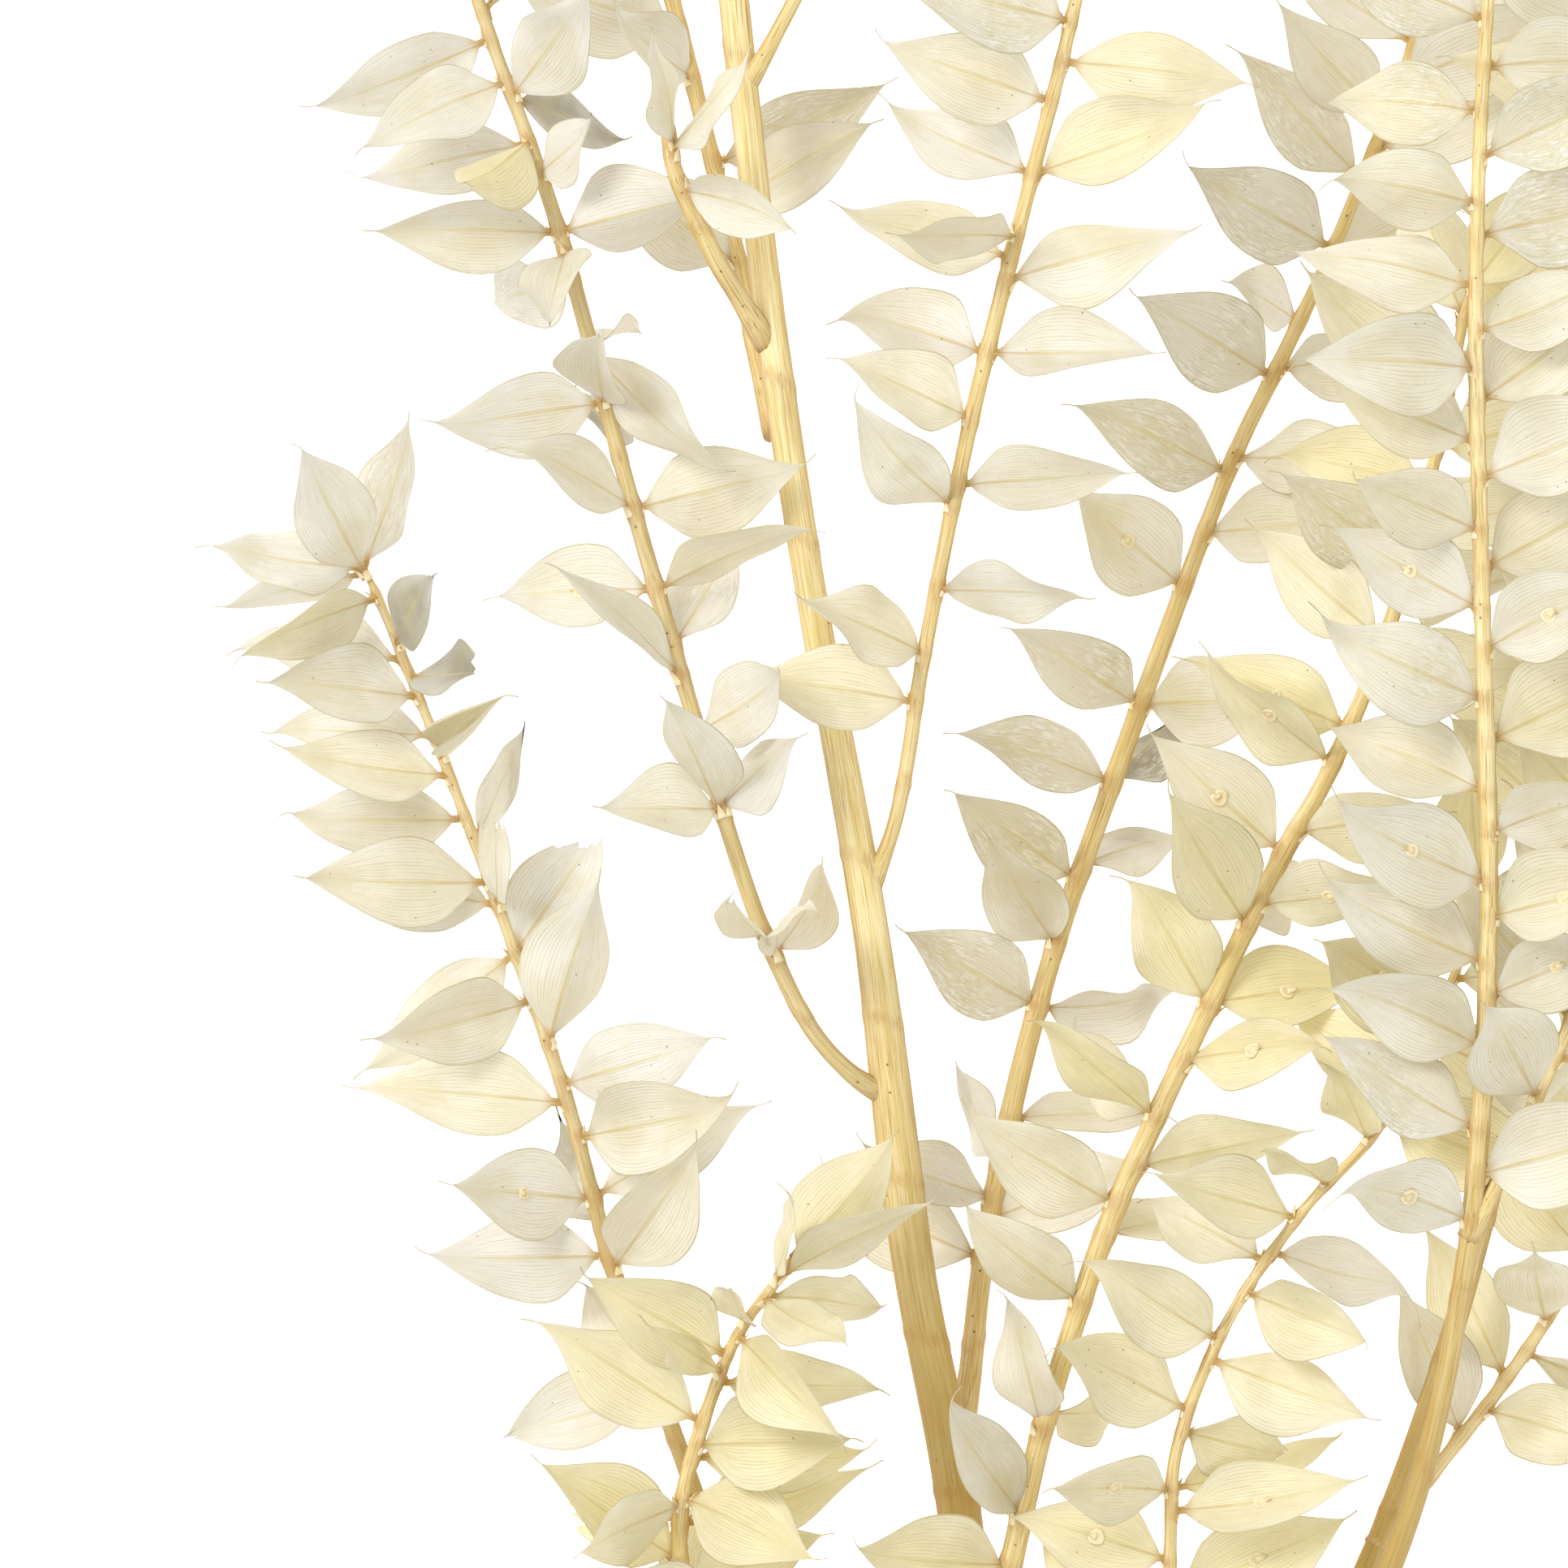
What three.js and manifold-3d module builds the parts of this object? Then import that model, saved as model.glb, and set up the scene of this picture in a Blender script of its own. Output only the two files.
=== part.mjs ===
// A bunch of dried, bleached ruscus that lies on a table: four cut stems with their leafy side shoots,
// held together by a few turns of twine near the cut ends.
// Units are millimetres and +Z is up. The stems grow along +Y, and the table is the plane z = 0.
import * as THREE from "three";
import { mergeVertices } from "three/addons/utils/BufferGeometryUtils.js";
import Module from "manifold-3d";

const wasm = await Module();
wasm.setup();

// One leaf: length along the midrib from the middle of its shoot, greatest width, thickness at the midrib.
const LEAF_LENGTH = 28.5;
const LEAF_WIDTH = 13.6;
const LEAF_THICK = 1.2;
// The stalk of the leaf takes up this share of its length, and is this wide.
const STALK_SHARE = 0.07;
const STALK_WIDTH = 1.1;
// The outline rises as x^RISE and falls as (1-x)^FALL, which puts the widest place at RISE/(RISE+FALL).
const RISE = 0.72;
const FALL = 1.15;
// A leaf is a point in the wood, sections at these shares of its length, and a point at its tip.
const CUTS = [0.2, 0.5];

// How leaves sit on a shoot, in degrees: they rise from its plane by turns to the front and to the back.
const LIFT = 20;
const LIFT_PLAY = 13;
const LEAN_PLAY = 12;
const ROLL_PLAY = 26;
// How much leaves differ in size, width, bend, sweep, twist, cup and distance from the next.
const SIZE_PLAY = 0.12;
const WIDTH_PLAY = 0.1;
const BEND_PLAY = 0.5;
const SWEEP_PLAY = 0.3;
const TWIST_PLAY = 0.5;
const CUP_PLAY = 0.32;
const GAP_PLAY = 0.22;
// Towards the tip of a shoot, over this length, the leaves close up, shrink and point forwards.
const TIP_STRETCH = 18;
const TIP_LEAN = 20;
const TIP_SIZE = 0.86;
const TIP_GAP = 0.62;

// A leaf keeps this far from leaves of its own stem (less where they crowd), from leaves of another and from
// wood, and may dip this far into the table before it is pressed flat.
const LEAF_CLEAR = 2.2;
const CROWDED_CLEAR = 0.9;
const OTHER_STEM_CLEAR = 3.2;
const WOOD_CLEAR = 1.5;
const DEEPEST_DIP = 9;
// Leaves further apart than this share of their lengths together can't touch.
const REACH_SHARE = 0.75;
// A leaf that has no room is lifted or swung by these angles until it has, and left out if none helps.
const MORE_LIFT = [0, 13, -13, 26, -26, 39, -39];
const MORE_LEAN = [0, -13, 13];

// Leaves that the photograph shows stand where it shows them. Such a leaf slopes up or down by this angle
// for each layer. A leaf that looks short or narrow is partly turned away: its real size lies these shares
// of the way from what shows to a whole leaf.
const LAYER_SLOPE = 9;
const HIDDEN_LENGTH = 0.35;
const HIDDEN_WIDTH = 0.45;
const LONGEST_LEAF = 36;
const SEEN_MORE_LIFT = [0, 7, -7, 14, -14, 21, -21, 28, -28, 36, -36];
const SEEN_CALM = 0.6;

// Twine: the middle of the tie along the stems, its width and thickness, and its distance from them.
const TIE_Y = -150;
const TIE_WIDE = 9;
const TIE_THICK = 1.8;
const TIE_CLEAR = 0.3;
const TIE_CORNERS = 28;
// Its knot lies on top, flattened. Each tail is a route from the knot: to the right, along the stems, up.
const KNOT_RADIUS = 3;
const KNOT_SHAPE = [1.3, 1, 0.7];
const TAIL_RADIUS = 0.9;
const TAILS = [
  [[0, 0, 0], [-7, 3, 2.2], [-15, -9, -2], [-21.1, -16, -8]],
  [[0, 0, 0], [7, 3, 2.2], [15, 9, -2], [21.1, 16, -8]],
];

// The wood has this many sides. The cut ends are slanted: their far side reaches this share of the radius
// further.
const CUT_STEM_SIDES = 7;
const SHOOT_SIDES = 5;
const CUT_SLANT = 1.4;

// Every shoot of the bunch. route: points [x, y, height] from its root to its tip. thick: diameters at equal
// distances from root to tip. bare: length without leaves. gap: distance from leaf to leaf. lean: angle
// between shoot and leaf, left and right. seen: leaves measured in the photograph, each as x and y of its
// root, x and y of its tip, its width as it shows, and its layer, from -2 at the back to 2 in front.
const SHOOTS = [
  {
    stem: "stem_middle",
    route: [[14, -212, 3.5], [10.2, -165, 5.5], [8, -135, 7.4], [4.5, -55, 14], [0, 0, 20],
      [-7.5, 41, 25], [-14, 92, 29], [-22.9, 142, 31], [-29, 182, 32], [-33.5, 220, 32], [-38, 262, 31],
      [-44, 305, 30], [-51, 350, 26], [-57, 392, 19]],
    thick: [6.6, 6.3, 6.5, 6.8, 6.6, 4.9, 4.7, 4.4, 3, 1.5], bare: 505, gap: 6.8, lean: [68, 68], seed: 11,
  },
  {
    stem: "stem_middle", // stands alone against the white, right of the thick stem
    route: [[-14, 98, 29], [-10.4, 108, 33], [-8.2, 119, 36], [-5.9, 134, 39], [1.3, 170, 41],
      [11.3, 210, 42], [15.9, 228, 41], [22, 255, 38], [29, 284, 34]],
    thick: [2.2, 2.5, 1.5], bare: 31, gap: 6.8, lean: [89, 62], seed: 966,
    seen: [
      [-6.2, 134.4, -24.4, 144, 10.2, 1], [-2.5, 158.8, -18.8, 172.2, 9.5, 1],
      [1.2, 171.6, -19.4, 180, 11.5, 2], [2.5, 179.8, -19.6, 189.8, 10.5, -1],
      [5.4, 193.8, -20.9, 202.8, 11.9, 0], [9.1, 199, -11.9, 201, 8.2, 2],
      [9.6, 208.5, -13.4, 218.1, 11, -1], [11.6, 218.8, -13.8, 228, 13, 1],
      [-2.5, 143.1, 18.8, 143.4, 8.5, 1], [1.2, 159.4, 26.9, 163.1, 10, 0],
      [5.4, 178.1, 31.9, 178.1, 11.2, 1], [8.5, 191.9, 35.6, 201.5, 12.5, 1],
      [13.1, 206.9, 39.4, 217.2, 11.9, 0], [16.6, 223.8, 45.4, 222.1, 12, 1],
    ],
  },
  {
    stem: "stem_middle", // low on the right
    route: [[3, -22, 17.5], [7, -9, 22], [9.1, 0, 25], [12.5, 15, 29], [16.9, 30, 32], [25, 52.5, 34],
      [46.9, 99, 37], [56.9, 117.5, 38], [66, 140, 37], [73, 166, 34], [78, 190, 31]],
    thick: [3.6, 3.3, 1.6], bare: 17, gap: 6.7, lean: [81, 64], seed: 520,
    seen: [
      [7.9, 1.5, -6.2, 21.9, 9.5, 2], [12.9, 15, 6.9, 35.6, 10.2, 0], [16.6, 34.6, -1.2, 50, 10.5, 1],
      [22.5, 50.6, -1.2, 63.1, 11.9, 2], [31.9, 61.9, 10.6, 80.6, 8.2, 2],
      [30.6, 63.5, 14.4, 78.1, 10.2, -2], [36.2, 80.6, 25, 101.9, 12.5, 0],
      [43.1, 91.9, 28.1, 114.6, 14, 1], [48.1, 104.4, 26.9, 122.5, 13, 0],
      [56.2, 116.9, 35, 133.8, 9.5, 1], [13.8, 16.9, 30, 17.2, 7.5, -1],
      [23.8, 43.8, 39.4, 47.5, 6.8, -1], [27.5, 55, 53.8, 61.9, 9.2, 0], [36.6, 71, 57.5, 76.2, 10, 1],
      [39.4, 79.4, 64.4, 85, 12.2, 0], [48.1, 96.2, 70, 98.8, 8.8, 1], [43.8, 91.2, 53.1, 102.8, 7.5, -2],
      [52.5, 106.2, 75.6, 110, 11.2, 0],
    ],
  },
  {
    stem: "stem_middle", // left, leaving the stem in a wide bow
    route: [[-11.5, 66, 26.5], [-17.5, 70, 31], [-23.5, 77, 34], [-29, 88, 36], [-35, 104, 38],
      [-49.4, 152.5, 38], [-61.9, 199, 36], [-72.5, 229, 33], [-82, 257, 29], [-91, 286, 24]],
    thick: [2.6, 2.6, 1.5], bare: 31, gap: 6.8, lean: [57, 47], seed: 543,
    seen: [
      [-31.2, 90.6, -36.9, 96.9, 4.8, 1], [-29, 87.9, -28.5, 100.2, 4.5, 1],
      [-28.4, 88.5, -18.8, 104.4, 7.5, -1], [-38.4, 109.6, -56.2, 110, 10.5, 0],
      [-36.9, 109.4, -46.2, 128.1, 9.8, 1], [-36.5, 108.8, -26.9, 123.4, 8, 0],
      [-39.4, 123.8, -24.1, 132.2, 10.8, 1], [-43.8, 129.6, -65, 146, 5, 2],
      [-48.8, 143.5, -71.6, 143.8, 13.2, -1], [-46.6, 145.6, -23.1, 157.5, 7.2, 1],
      [-44.1, 136.9, -32.5, 151.5, 10.5, -1], [-49, 156, -22.5, 164.1, 13.2, 0],
      [-55.4, 181.2, -36, 159.1, 9, 2], [-51.9, 158.1, -70.4, 167.9, 8.8, 1],
      [-56.2, 174.4, -83.1, 169.6, 12.5, 0], [-52.5, 163.1, -60, 175, 4.5, -1],
      [-54.1, 171, -56.2, 183.5, 9.5, 2], [-58.1, 182.5, -49.4, 186, 2.8, -1],
      [-60.4, 196, -61.9, 183.1, 9.5, 2], [-63.1, 200, -91.9, 200.4, 11.2, 1],
      [-61.2, 191.9, -75, 188.5, 9.8, -2], [-64.6, 212.2, -76.6, 204.4, 10, 2],
      [-60, 197.9, -37.9, 205.2, 13.5, 0], [-66.9, 219.4, -52.1, 211.9, 7.8, -1],
      [-62.9, 206.9, -55.6, 216.2, 8.2, 0], [-66.6, 219.6, -55.4, 237.5, 12.2, 1],
      [-68.1, 212.8, -94.4, 209, 9.5, -1], [-70, 221.5, -93.1, 212.8, 10.8, 1],
      [-73.4, 228.1, -100.9, 216.2, 11.5, 0],
    ],
  },
  {
    stem: "stem_middle", // right, behind the others
    route: [[-1.5, 9, 20], [1.2, 21, 16], [3.5, 40, 12.5], [8.1, 64, 10], [14.4, 87.5, 8.5],
      [22.5, 111, 8], [40.6, 160, 8], [49.4, 179, 8], [58.1, 197.5, 8.5], [69, 225, 9.5], [79, 252, 11]],
    thick: [3.6, 3, 1.5], bare: 33, gap: 6, lean: [78, 50], seed: 759,
    seen: [
      [6.2, 50, -17.5, 57, 8.5, 0], [7.1, 56.2, -2.8, 70.9, 7, -1], [10, 79.4, -10.6, 91.2, 12.5, 1],
      [17.5, 100, -3.8, 114, 11.2, 0], [22.9, 113.1, -1.9, 123.4, 10, 1],
      [26.2, 128.8, 6.9, 139.4, 11.9, 1], [35, 143.1, 15.9, 160, 14.8, 0],
      [41.2, 161.6, 17.5, 173.1, 12.5, 1], [47.9, 177.2, 25, 191.9, 14.2, 1],
      [56.9, 197.5, 32.5, 211, 13.8, 1], [61.2, 209.4, 40.9, 228.5, 11.9, 0],
      [10, 62.2, 35.6, 63.8, 6.2, -1], [13.1, 80, 36.9, 80, 7.8, -1], [15.9, 88.1, 3.4, 106.2, 10.5, 2],
      [20.6, 100.2, 35.6, 108.8, 7.5, -1], [26.2, 114.4, 35.6, 127.5, 7.5, -1],
      [30, 127.9, 51.9, 128.8, 13.8, 0], [40.6, 150.6, 61.9, 153.8, 11.2, 0],
      [45, 165, 69.4, 163.1, 10.8, 0], [53.4, 185.6, 43.1, 195.6, 7.5, -1],
      [51.2, 178.1, 75.6, 182.5, 12, 0], [56.9, 196.2, 76.9, 205, 11.2, -1],
    ],
  },
  {
    stem: "stem_middle", // broken short, with a few leaves left
    route: [[-30, 182, 32], [-34.4, 189, 38], [-38.1, 195, 43], [-43.8, 207, 48], [-44.9, 213, 49]],
    thick: [2.8, 3, 2.3], bare: 60, gap: 3.8, lean: [25, 72], seed: 248,
    seen: [
      [-43.4, 211.2, -45, 228.8, 4, 1], [-42.8, 210.5, -30.4, 227.2, 5, 2],
      [-42.5, 206, -23.1, 200.4, 7.8, 1],
    ],
  },
  {
    stem: "stem_middle", // behind the thick stem
    route: [[-28.5, 168, 30], [-31.5, 180, 24], [-34.5, 195, 17.5], [-38.8, 212, 13], [-43.5, 231, 9.5],
      [-51, 260, 8], [-60, 290, 9]],
    thick: [3, 2.7, 1.4], bare: 30, gap: 6.8, lean: [56, 66], seed: 870,
    seen: [
      [-32.9, 211.2, -9.1, 222.5, 10.5, 0], [-31.9, 203.8, -13.8, 218.4, 11.5, 1],
      [-42.8, 223.5, -55.6, 232.5, 9.5, 0],
    ],
  },
  {
    stem: "stem_middle", // upper right
    route: [[-33.6, 221, 31.5], [-28.8, 229, 35], [-22, 243, 39], [-14, 268, 41], [-7, 296, 39],
      [-1, 322, 35]],
    thick: [2.4, 1.3], bare: 22, gap: 6.8, lean: [70, 66], seed: 37,
  },
  {
    stem: "stem_middle", // upper left
    route: [[-38.5, 265, 31], [-45, 274, 32], [-55, 290, 32], [-68, 318, 30], [-78, 345, 26],
      [-84, 366, 22]],
    thick: [2.2, 1.2], bare: 20, gap: 6.6, lean: [70, 62], seed: 53,
  },
  {
    stem: "stem_middle", // topmost right
    route: [[-43, 298, 30.5], [-37, 308, 26], [-29, 324, 18], [-21, 348, 11], [-17, 374, 8.5]],
    thick: [2.2, 1.2], bare: 18, gap: 6.6, lean: [64, 70], seed: 61,
  },
  {
    stem: "stem_middle", // a short one low on the left
    route: [[7, -105, 9.5], [1, -92, 8.5], [-6, -77, 7.5], [-11, -58, 7], [-13, -42, 7.5]],
    thick: [2, 1.2], bare: 16, gap: 6.4, lean: [62, 62], seed: 71,
  },
  {
    stem: "stem_left",
    route: [[-6, -206, 2.6], [-3.7, -165, 4.7], [-4.2, -135, 6], [-9, -105, 8], [-18, -68, 10],
      [-27, -36, 12], [-38, -5, 14], [-45.3, 15.6, 14], [-54, 39, 14], [-61.9, 67.5, 13],
      [-76.9, 109, 11], [-90, 142, 11.5], [-93, 147.5, 12]],
    thick: [5, 1.3], bare: 237, gap: 4.4, lean: [69, 45], seed: 745,
    seen: [
      [-62.5, 65.2, -95.6, 67.5, 12.8, 1], [-92.5, 147.1, -103.5, 167.6, 11.9, 2],
      [-90.9, 148.5, -83.5, 173.5, 9, -1], [-93.1, 147.5, -117.1, 150.8, 8.5, 1],
      [-93.6, 146.8, -116.2, 143.4, 6.5, -1], [-91.6, 142.2, -114.6, 134.4, 9.8, 1],
      [-86.9, 133.1, -114.4, 137.5, 9.8, -1], [-83.1, 127.2, -110.2, 129.6, 11.5, 1],
      [-81.2, 122.9, -109.1, 122.2, 7.8, -1], [-79.1, 114.4, -107.5, 117.8, 9, 1],
      [-78.8, 109.8, -106.2, 107.5, 10.5, 0], [-74.6, 100.2, -105, 97.9, 12.8, 2],
      [-74.6, 96, -100, 99.4, 11.5, -1], [-87.2, 136.9, -80.6, 149, 7.8, 1],
      [-83.1, 130.2, -70.6, 130.6, 6.5, 1], [-79, 119.1, -73.1, 128.8, 9, 1],
      [-75.9, 107.5, -65, 124, 6.5, -1], [-71.6, 94, -70, 111.9, 6.5, 1],
      [-68.8, 87.1, -55, 109.6, 12.2, 0], [-63.1, 74.8, -57.5, 100.6, 13.5, 1],
      [-66.2, 81.2, -94, 72.5, 12, 2], [-69.6, 86.2, -93.1, 68.1, 10.5, -2],
      [-60, 66.9, -38.1, 74.4, 13.2, 1], [-58.1, 59.6, -30, 65.6, 13.8, 2],
      [-55.9, 51.2, -30.4, 66.2, 10.5, -1], [-59.1, 50.4, -82.1, 51.9, 13.5, 0],
      [-56.2, 45, -63.1, 62.8, 8.8, -2], [-55.6, 40.9, -84.8, 40, 13.2, 1],
      [-53.5, 38.8, -40, 58.8, 12.5, 1], [-48.8, 23.8, -58.5, 36.5, 7.5, -1],
      [-48.1, 18.1, -72.8, 13.4, 11.5, -1],
    ],
  },
  {
    stem: "stem_left", // arches over the stem that carries it
    route: [[-23, -50, 11], [-32, -38, 17], [-39, -23, 25], [-43, -8, 32], [-43.2, 3, 37],
      [-40.6, 14, 40], [-35, 29, 43], [-28, 39, 45], [-25.6, 43, 46]],
    thick: [2.8, 2.7, 1.2], bare: 28, gap: 4.5, lean: [61, 61], seed: 502,
    seen: [
      [-27.5, 38.5, -5.6, 55, 6, 1], [-28.5, 38.2, -25, 52.9, 2.8, 1], [-29.4, 35.6, -10, 33.8, 8, -1],
      [-29.8, 35, -17.5, 26.6, 7.8, 1], [-33.1, 31.9, -36.2, 38.8, 4, 1],
      [-36.2, 27.5, -59.1, 39.4, 13.5, 0], [-36.5, 23.5, -48.1, 31.9, 11.2, 2],
      [-41.6, 16.5, -66.6, 33.8, 13.2, 1], [-32.9, 28.8, -16.6, 14.4, 10.8, 1],
      [-36.5, 21.9, -10.6, 20.4, 9.2, -1], [-39.6, 12.5, -16.2, 14.4, 14.2, 1],
      [-40.6, 10.6, -13.8, 10.1, 10.5, -1], [-42.1, 4.4, -21.9, -3.1, 13.5, 1],
      [-43.1, 0, -12.5, 5.2, 9, -2], [-44.6, 4.4, -61.9, -2.5, 10.5, 1],
      [-43.8, 1.2, -65.6, 3.8, 8.2, -1],
    ],
  },
  {
    stem: "stem_right",
    route: [[4.5, -204, 6.5], [3.6, -165, 11], [6.4, -137, 13.8], [12, -120, 14.6], [21, -100, 13.8],
      [42, -50, 13], [66, 0, 16], [83, 55, 20], [93, 115, 23], [98, 175, 23], [100, 235, 20],
      [98, 285, 15]],
    thick: [5.4, 1.4], bare: 330, gap: 6.8, lean: [66, 66], seed: 83,
  },
  {
    stem: "stem_right", // left, low over the others
    route: [[36, -64, 12.8], [34.5, -46, 20], [32.4, -22, 31], [31.9, 0, 39], [33.1, 14, 43],
      [40.6, 32.5, 46], [51.9, 49, 46], [63, 61, 45], [72, 77, 43], [80, 98, 40]],
    thick: [2.4, 1.3], bare: 40, gap: 6, lean: [78, 75], seed: 162,
    seen: [
      [30.9, 6.5, 12.2, 9, 10, 0], [33.4, 18.1, 11.2, 30.6, 12.5, 1], [38.1, 30, 17.5, 41.2, 12.2, 1],
      [50.6, 47.5, 27.1, 55, 10.5, 1], [45.6, 41, 26.9, 51.9, 10.8, -1], [55, 54, 45.6, 62.8, 6.8, 1],
      [32.5, 2.2, 62.5, 4.4, 10.2, 1], [33.1, 6.2, 60, 9.4, 7.5, -1], [35, 14.4, 51.9, 11.2, 10.2, -1],
      [38.1, 25.6, 63.4, 16.9, 12, 1], [43.8, 36.9, 65, 28.1, 10.8, 0], [47.5, 41.9, 70.6, 36.2, 8, -1],
      [61.9, 60.4, 56.2, 73.1, 6.2, 0],
    ],
  },
  {
    stem: "stem_right", // low right
    route: [[64, -4, 16], [74, 8, 13], [88, 26, 10], [104, 52, 8], [117, 80, 8], [125, 104, 10]],
    thick: [2.4, 1.2], bare: 22, gap: 6.6, lean: [66, 66], seed: 89,
  },
  {
    stem: "stem_right", // high right
    route: [[91, 104, 22.5], [98, 120, 20], [109, 144, 15], [121, 176, 10], [129, 204, 8.5]],
    thick: [2.4, 1.2], bare: 22, gap: 6.6, lean: [66, 66], seed: 97,
  },
  {
    stem: "stem_front",
    route: [[-4.5, -198, 8.2], [-3.4, -165, 9.8], [0.8, -137, 12.8], [11, -110, 18.5], [38, -60, 33],
      [65, -6, 48], [76, 40, 56], [79.5, 90, 60], [78.5, 140, 62], [77.5, 190, 62], [80, 240, 58],
      [85, 285, 51], [88, 310, 46]],
    thick: [4.8, 1.4], bare: 268, gap: 6.4, lean: [72, 66], seed: 461,
  },
  {
    stem: "stem_front", // right
    route: [[76.5, 45, 56.5], [83, 58, 57], [93, 80, 55], [104, 110, 51], [111, 136, 46]],
    thick: [2.4, 1.2], bare: 24, gap: 6.6, lean: [66, 66], seed: 103,
  },
];

// Draws between 0 and 1 that are the same in every run, by the multiplying generator of Park and Miller.
function drawsFrom(seed) {
  let state = seed * 7919 + 104729;
  return () => (state = (state * 48271) % 2147483647) / 2147483647;
}

const radians = (degrees) => (degrees * Math.PI) / 180;
const { acos, cos, hypot, sign, sin, tan } = Math;
const between = (low, high, share) => low + (high - low) * share;

// A shoot's middle line as closely spaced points with their distance from the root.
const STEPS_PER_SPAN = 12;
function middleLine(route) {
  const corners = route.map((p) => new THREE.Vector3(...p));
  const curve = new THREE.CatmullRomCurve3(corners, false, "catmullrom", 0.5);
  const points = curve.getPoints((route.length - 1) * STEPS_PER_SPAN);
  const reach = [0];
  for (let i = 1; i < points.length; i++) reach.push(reach[i - 1] + points[i].distanceTo(points[i - 1]));
  return { points, reach, length: reach.at(-1) };
}

// The point at a distance along a middle line, with the direction of growth there.
function at(line, distance) {
  const last = line.points.length - 1;
  let i = 1;
  while (i < last && line.reach[i] < distance) i++;
  const share = (distance - line.reach[i - 1]) / (line.reach[i] - line.reach[i - 1]);
  const point = line.points[i - 1].clone().lerp(line.points[i], share);
  const pointAt = (k) => line.points[Math.max(0, Math.min(k, last))];
  const slope = (k) => pointAt(k + 1).clone().sub(pointAt(k - 1)).normalize();
  return { point, forward: slope(i - 1).lerp(slope(i), share).normalize() };
}

const UP = new THREE.Vector3(0, 0, 1);

// A shoot's diameter at a share of its length.
function thickAt({ thick }, share) {
  const place = share * (thick.length - 1);
  const i = Math.min(Math.floor(place), thick.length - 2);
  return between(thick[i], thick[i + 1], place - i);
}

// Half the outline's width at a share of the leaf's length, as a share of its greatest half width.
const peak = RISE / (RISE + FALL);
const PEAK_VALUE = peak ** RISE * (1 - peak) ** FALL;
function halfOutline(share) {
  const x = Math.max(0, (share - STALK_SHARE) / (1 - STALK_SHARE));
  return (x ** RISE * (1 - x) ** FALL) / PEAK_VALUE;
}

// A point of a leaf's under face. along runs from 0 at the root to 1 at the tip, and across from -1 to 1.
// A leaf that would dip into the table lies pressed on it.
function bladePoint(leaf, along, across) {
  const { root, out, face, side, length, bend, sweep, twist, cup } = leaf;
  const half = Math.max(halfOutline(along) * leaf.halfWidth, (STALK_WIDTH / 2) * (1 - along));
  const turn = twist * along;
  const normal = face.clone().addScaledVector(out, -bend * along).normalize();
  const flank = side.clone().addScaledVector(out, -sweep * along).normalize();
  const rolledFlank = flank.clone().multiplyScalar(cos(turn)).addScaledVector(normal, sin(turn));
  const rolledNormal = normal.multiplyScalar(cos(turn)).addScaledVector(flank, -sin(turn));
  const point = root.clone()
    .addScaledVector(out, length * along)
    .addScaledVector(face, (bend * length * along * along) / 2)
    .addScaledVector(side, (sweep * length * along * along) / 2)
    .addScaledVector(rolledFlank, across * half)
    .addScaledVector(rolledNormal, cup * half * across * across);
  const dip = Math.max(0, -point.z);
  point.z = Math.max(point.z, 0);
  return { point, normal: rolledNormal, dip };
}

// Points spread over a leaf, which tell whether it has room.
const FEELER_ROWS = [0.3, 0.39, 0.48, 0.57, 0.66, 0.75, 0.84, 0.92, 1];
const FEELER_COLUMNS = [-1, -0.5, 0, 0.5, 1];
function feelers(leaf) {
  return FEELER_ROWS.flatMap((along) => FEELER_COLUMNS.map((across) => bladePoint(leaf, along, across)));
}

// A leaf on its shoot that points along out. draws gives the small differences from leaf to leaf.
function leafOn({ shoot, line }, distance, out, roll, length, width, draws, calm) {
  const flatFace = UP.clone().addScaledVector(out, -UP.dot(out)).normalize();
  const flatSide = out.clone().cross(flatFace);
  const face = flatFace.multiplyScalar(cos(roll)).addScaledVector(flatSide, sin(roll));
  const leaf = {
    root: at(line, distance).point, out, face, side: out.clone().cross(face), stem: shoot.stem,
    sunk: thickAt(shoot, distance / line.length) / 4,
    length,
    halfWidth: width / 2,
    bend: BEND_PLAY * calm * draws.bend,
    sweep: SWEEP_PLAY * calm * draws.sweep,
    twist: TWIST_PLAY * draws.twist,
    cup: CUP_PLAY * draws.cup,
  };
  leaf.points = feelers(leaf);
  leaf.middle = bladePoint(leaf, 0.6, 0).point;
  return leaf;
}

// How far a place on a shoot lies in the closed-up stretch at its tip, from 0 to 1.
function closedUp({ length }, distance) {
  return THREE.MathUtils.smoothstep(distance, length - TIP_STRETCH, length);
}

// A leaf that follows the habit of the plant: left and right by turns, two in front and two behind.
function usualLeaf(grown, distance, index, draws, moreLean, moreLift) {
  const { shoot, line } = grown;
  const { forward } = at(line, distance);
  const right = forward.clone().cross(UP).normalize();
  const upward = right.clone().cross(forward);
  const toTip = closedUp(line, distance);
  const hand = index % 2 === 0 ? -1 : 1;
  const layer = index % 4 < 2 ? 1 : -1;
  const baseLean = between(shoot.lean[hand < 0 ? 0 : 1], TIP_LEAN, toTip);
  const lean = radians(baseLean + LEAN_PLAY * draws.lean + moreLean);
  const lift = radians(layer * LIFT + LIFT_PLAY * draws.lift + moreLift);
  const sideways = right.multiplyScalar(hand * cos(lift)).addScaledVector(upward, sin(lift));
  const out = forward.multiplyScalar(cos(lean)).addScaledVector(sideways, sin(lean)).normalize();
  const size = between(1, TIP_SIZE, toTip) * (1 + SIZE_PLAY * draws.size);
  const width = LEAF_WIDTH * size * (1 + WIDTH_PLAY * draws.width);
  return leafOn(grown, distance, out, radians(ROLL_PLAY * draws.roll), LEAF_LENGTH * size, width, draws, 1);
}

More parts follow.
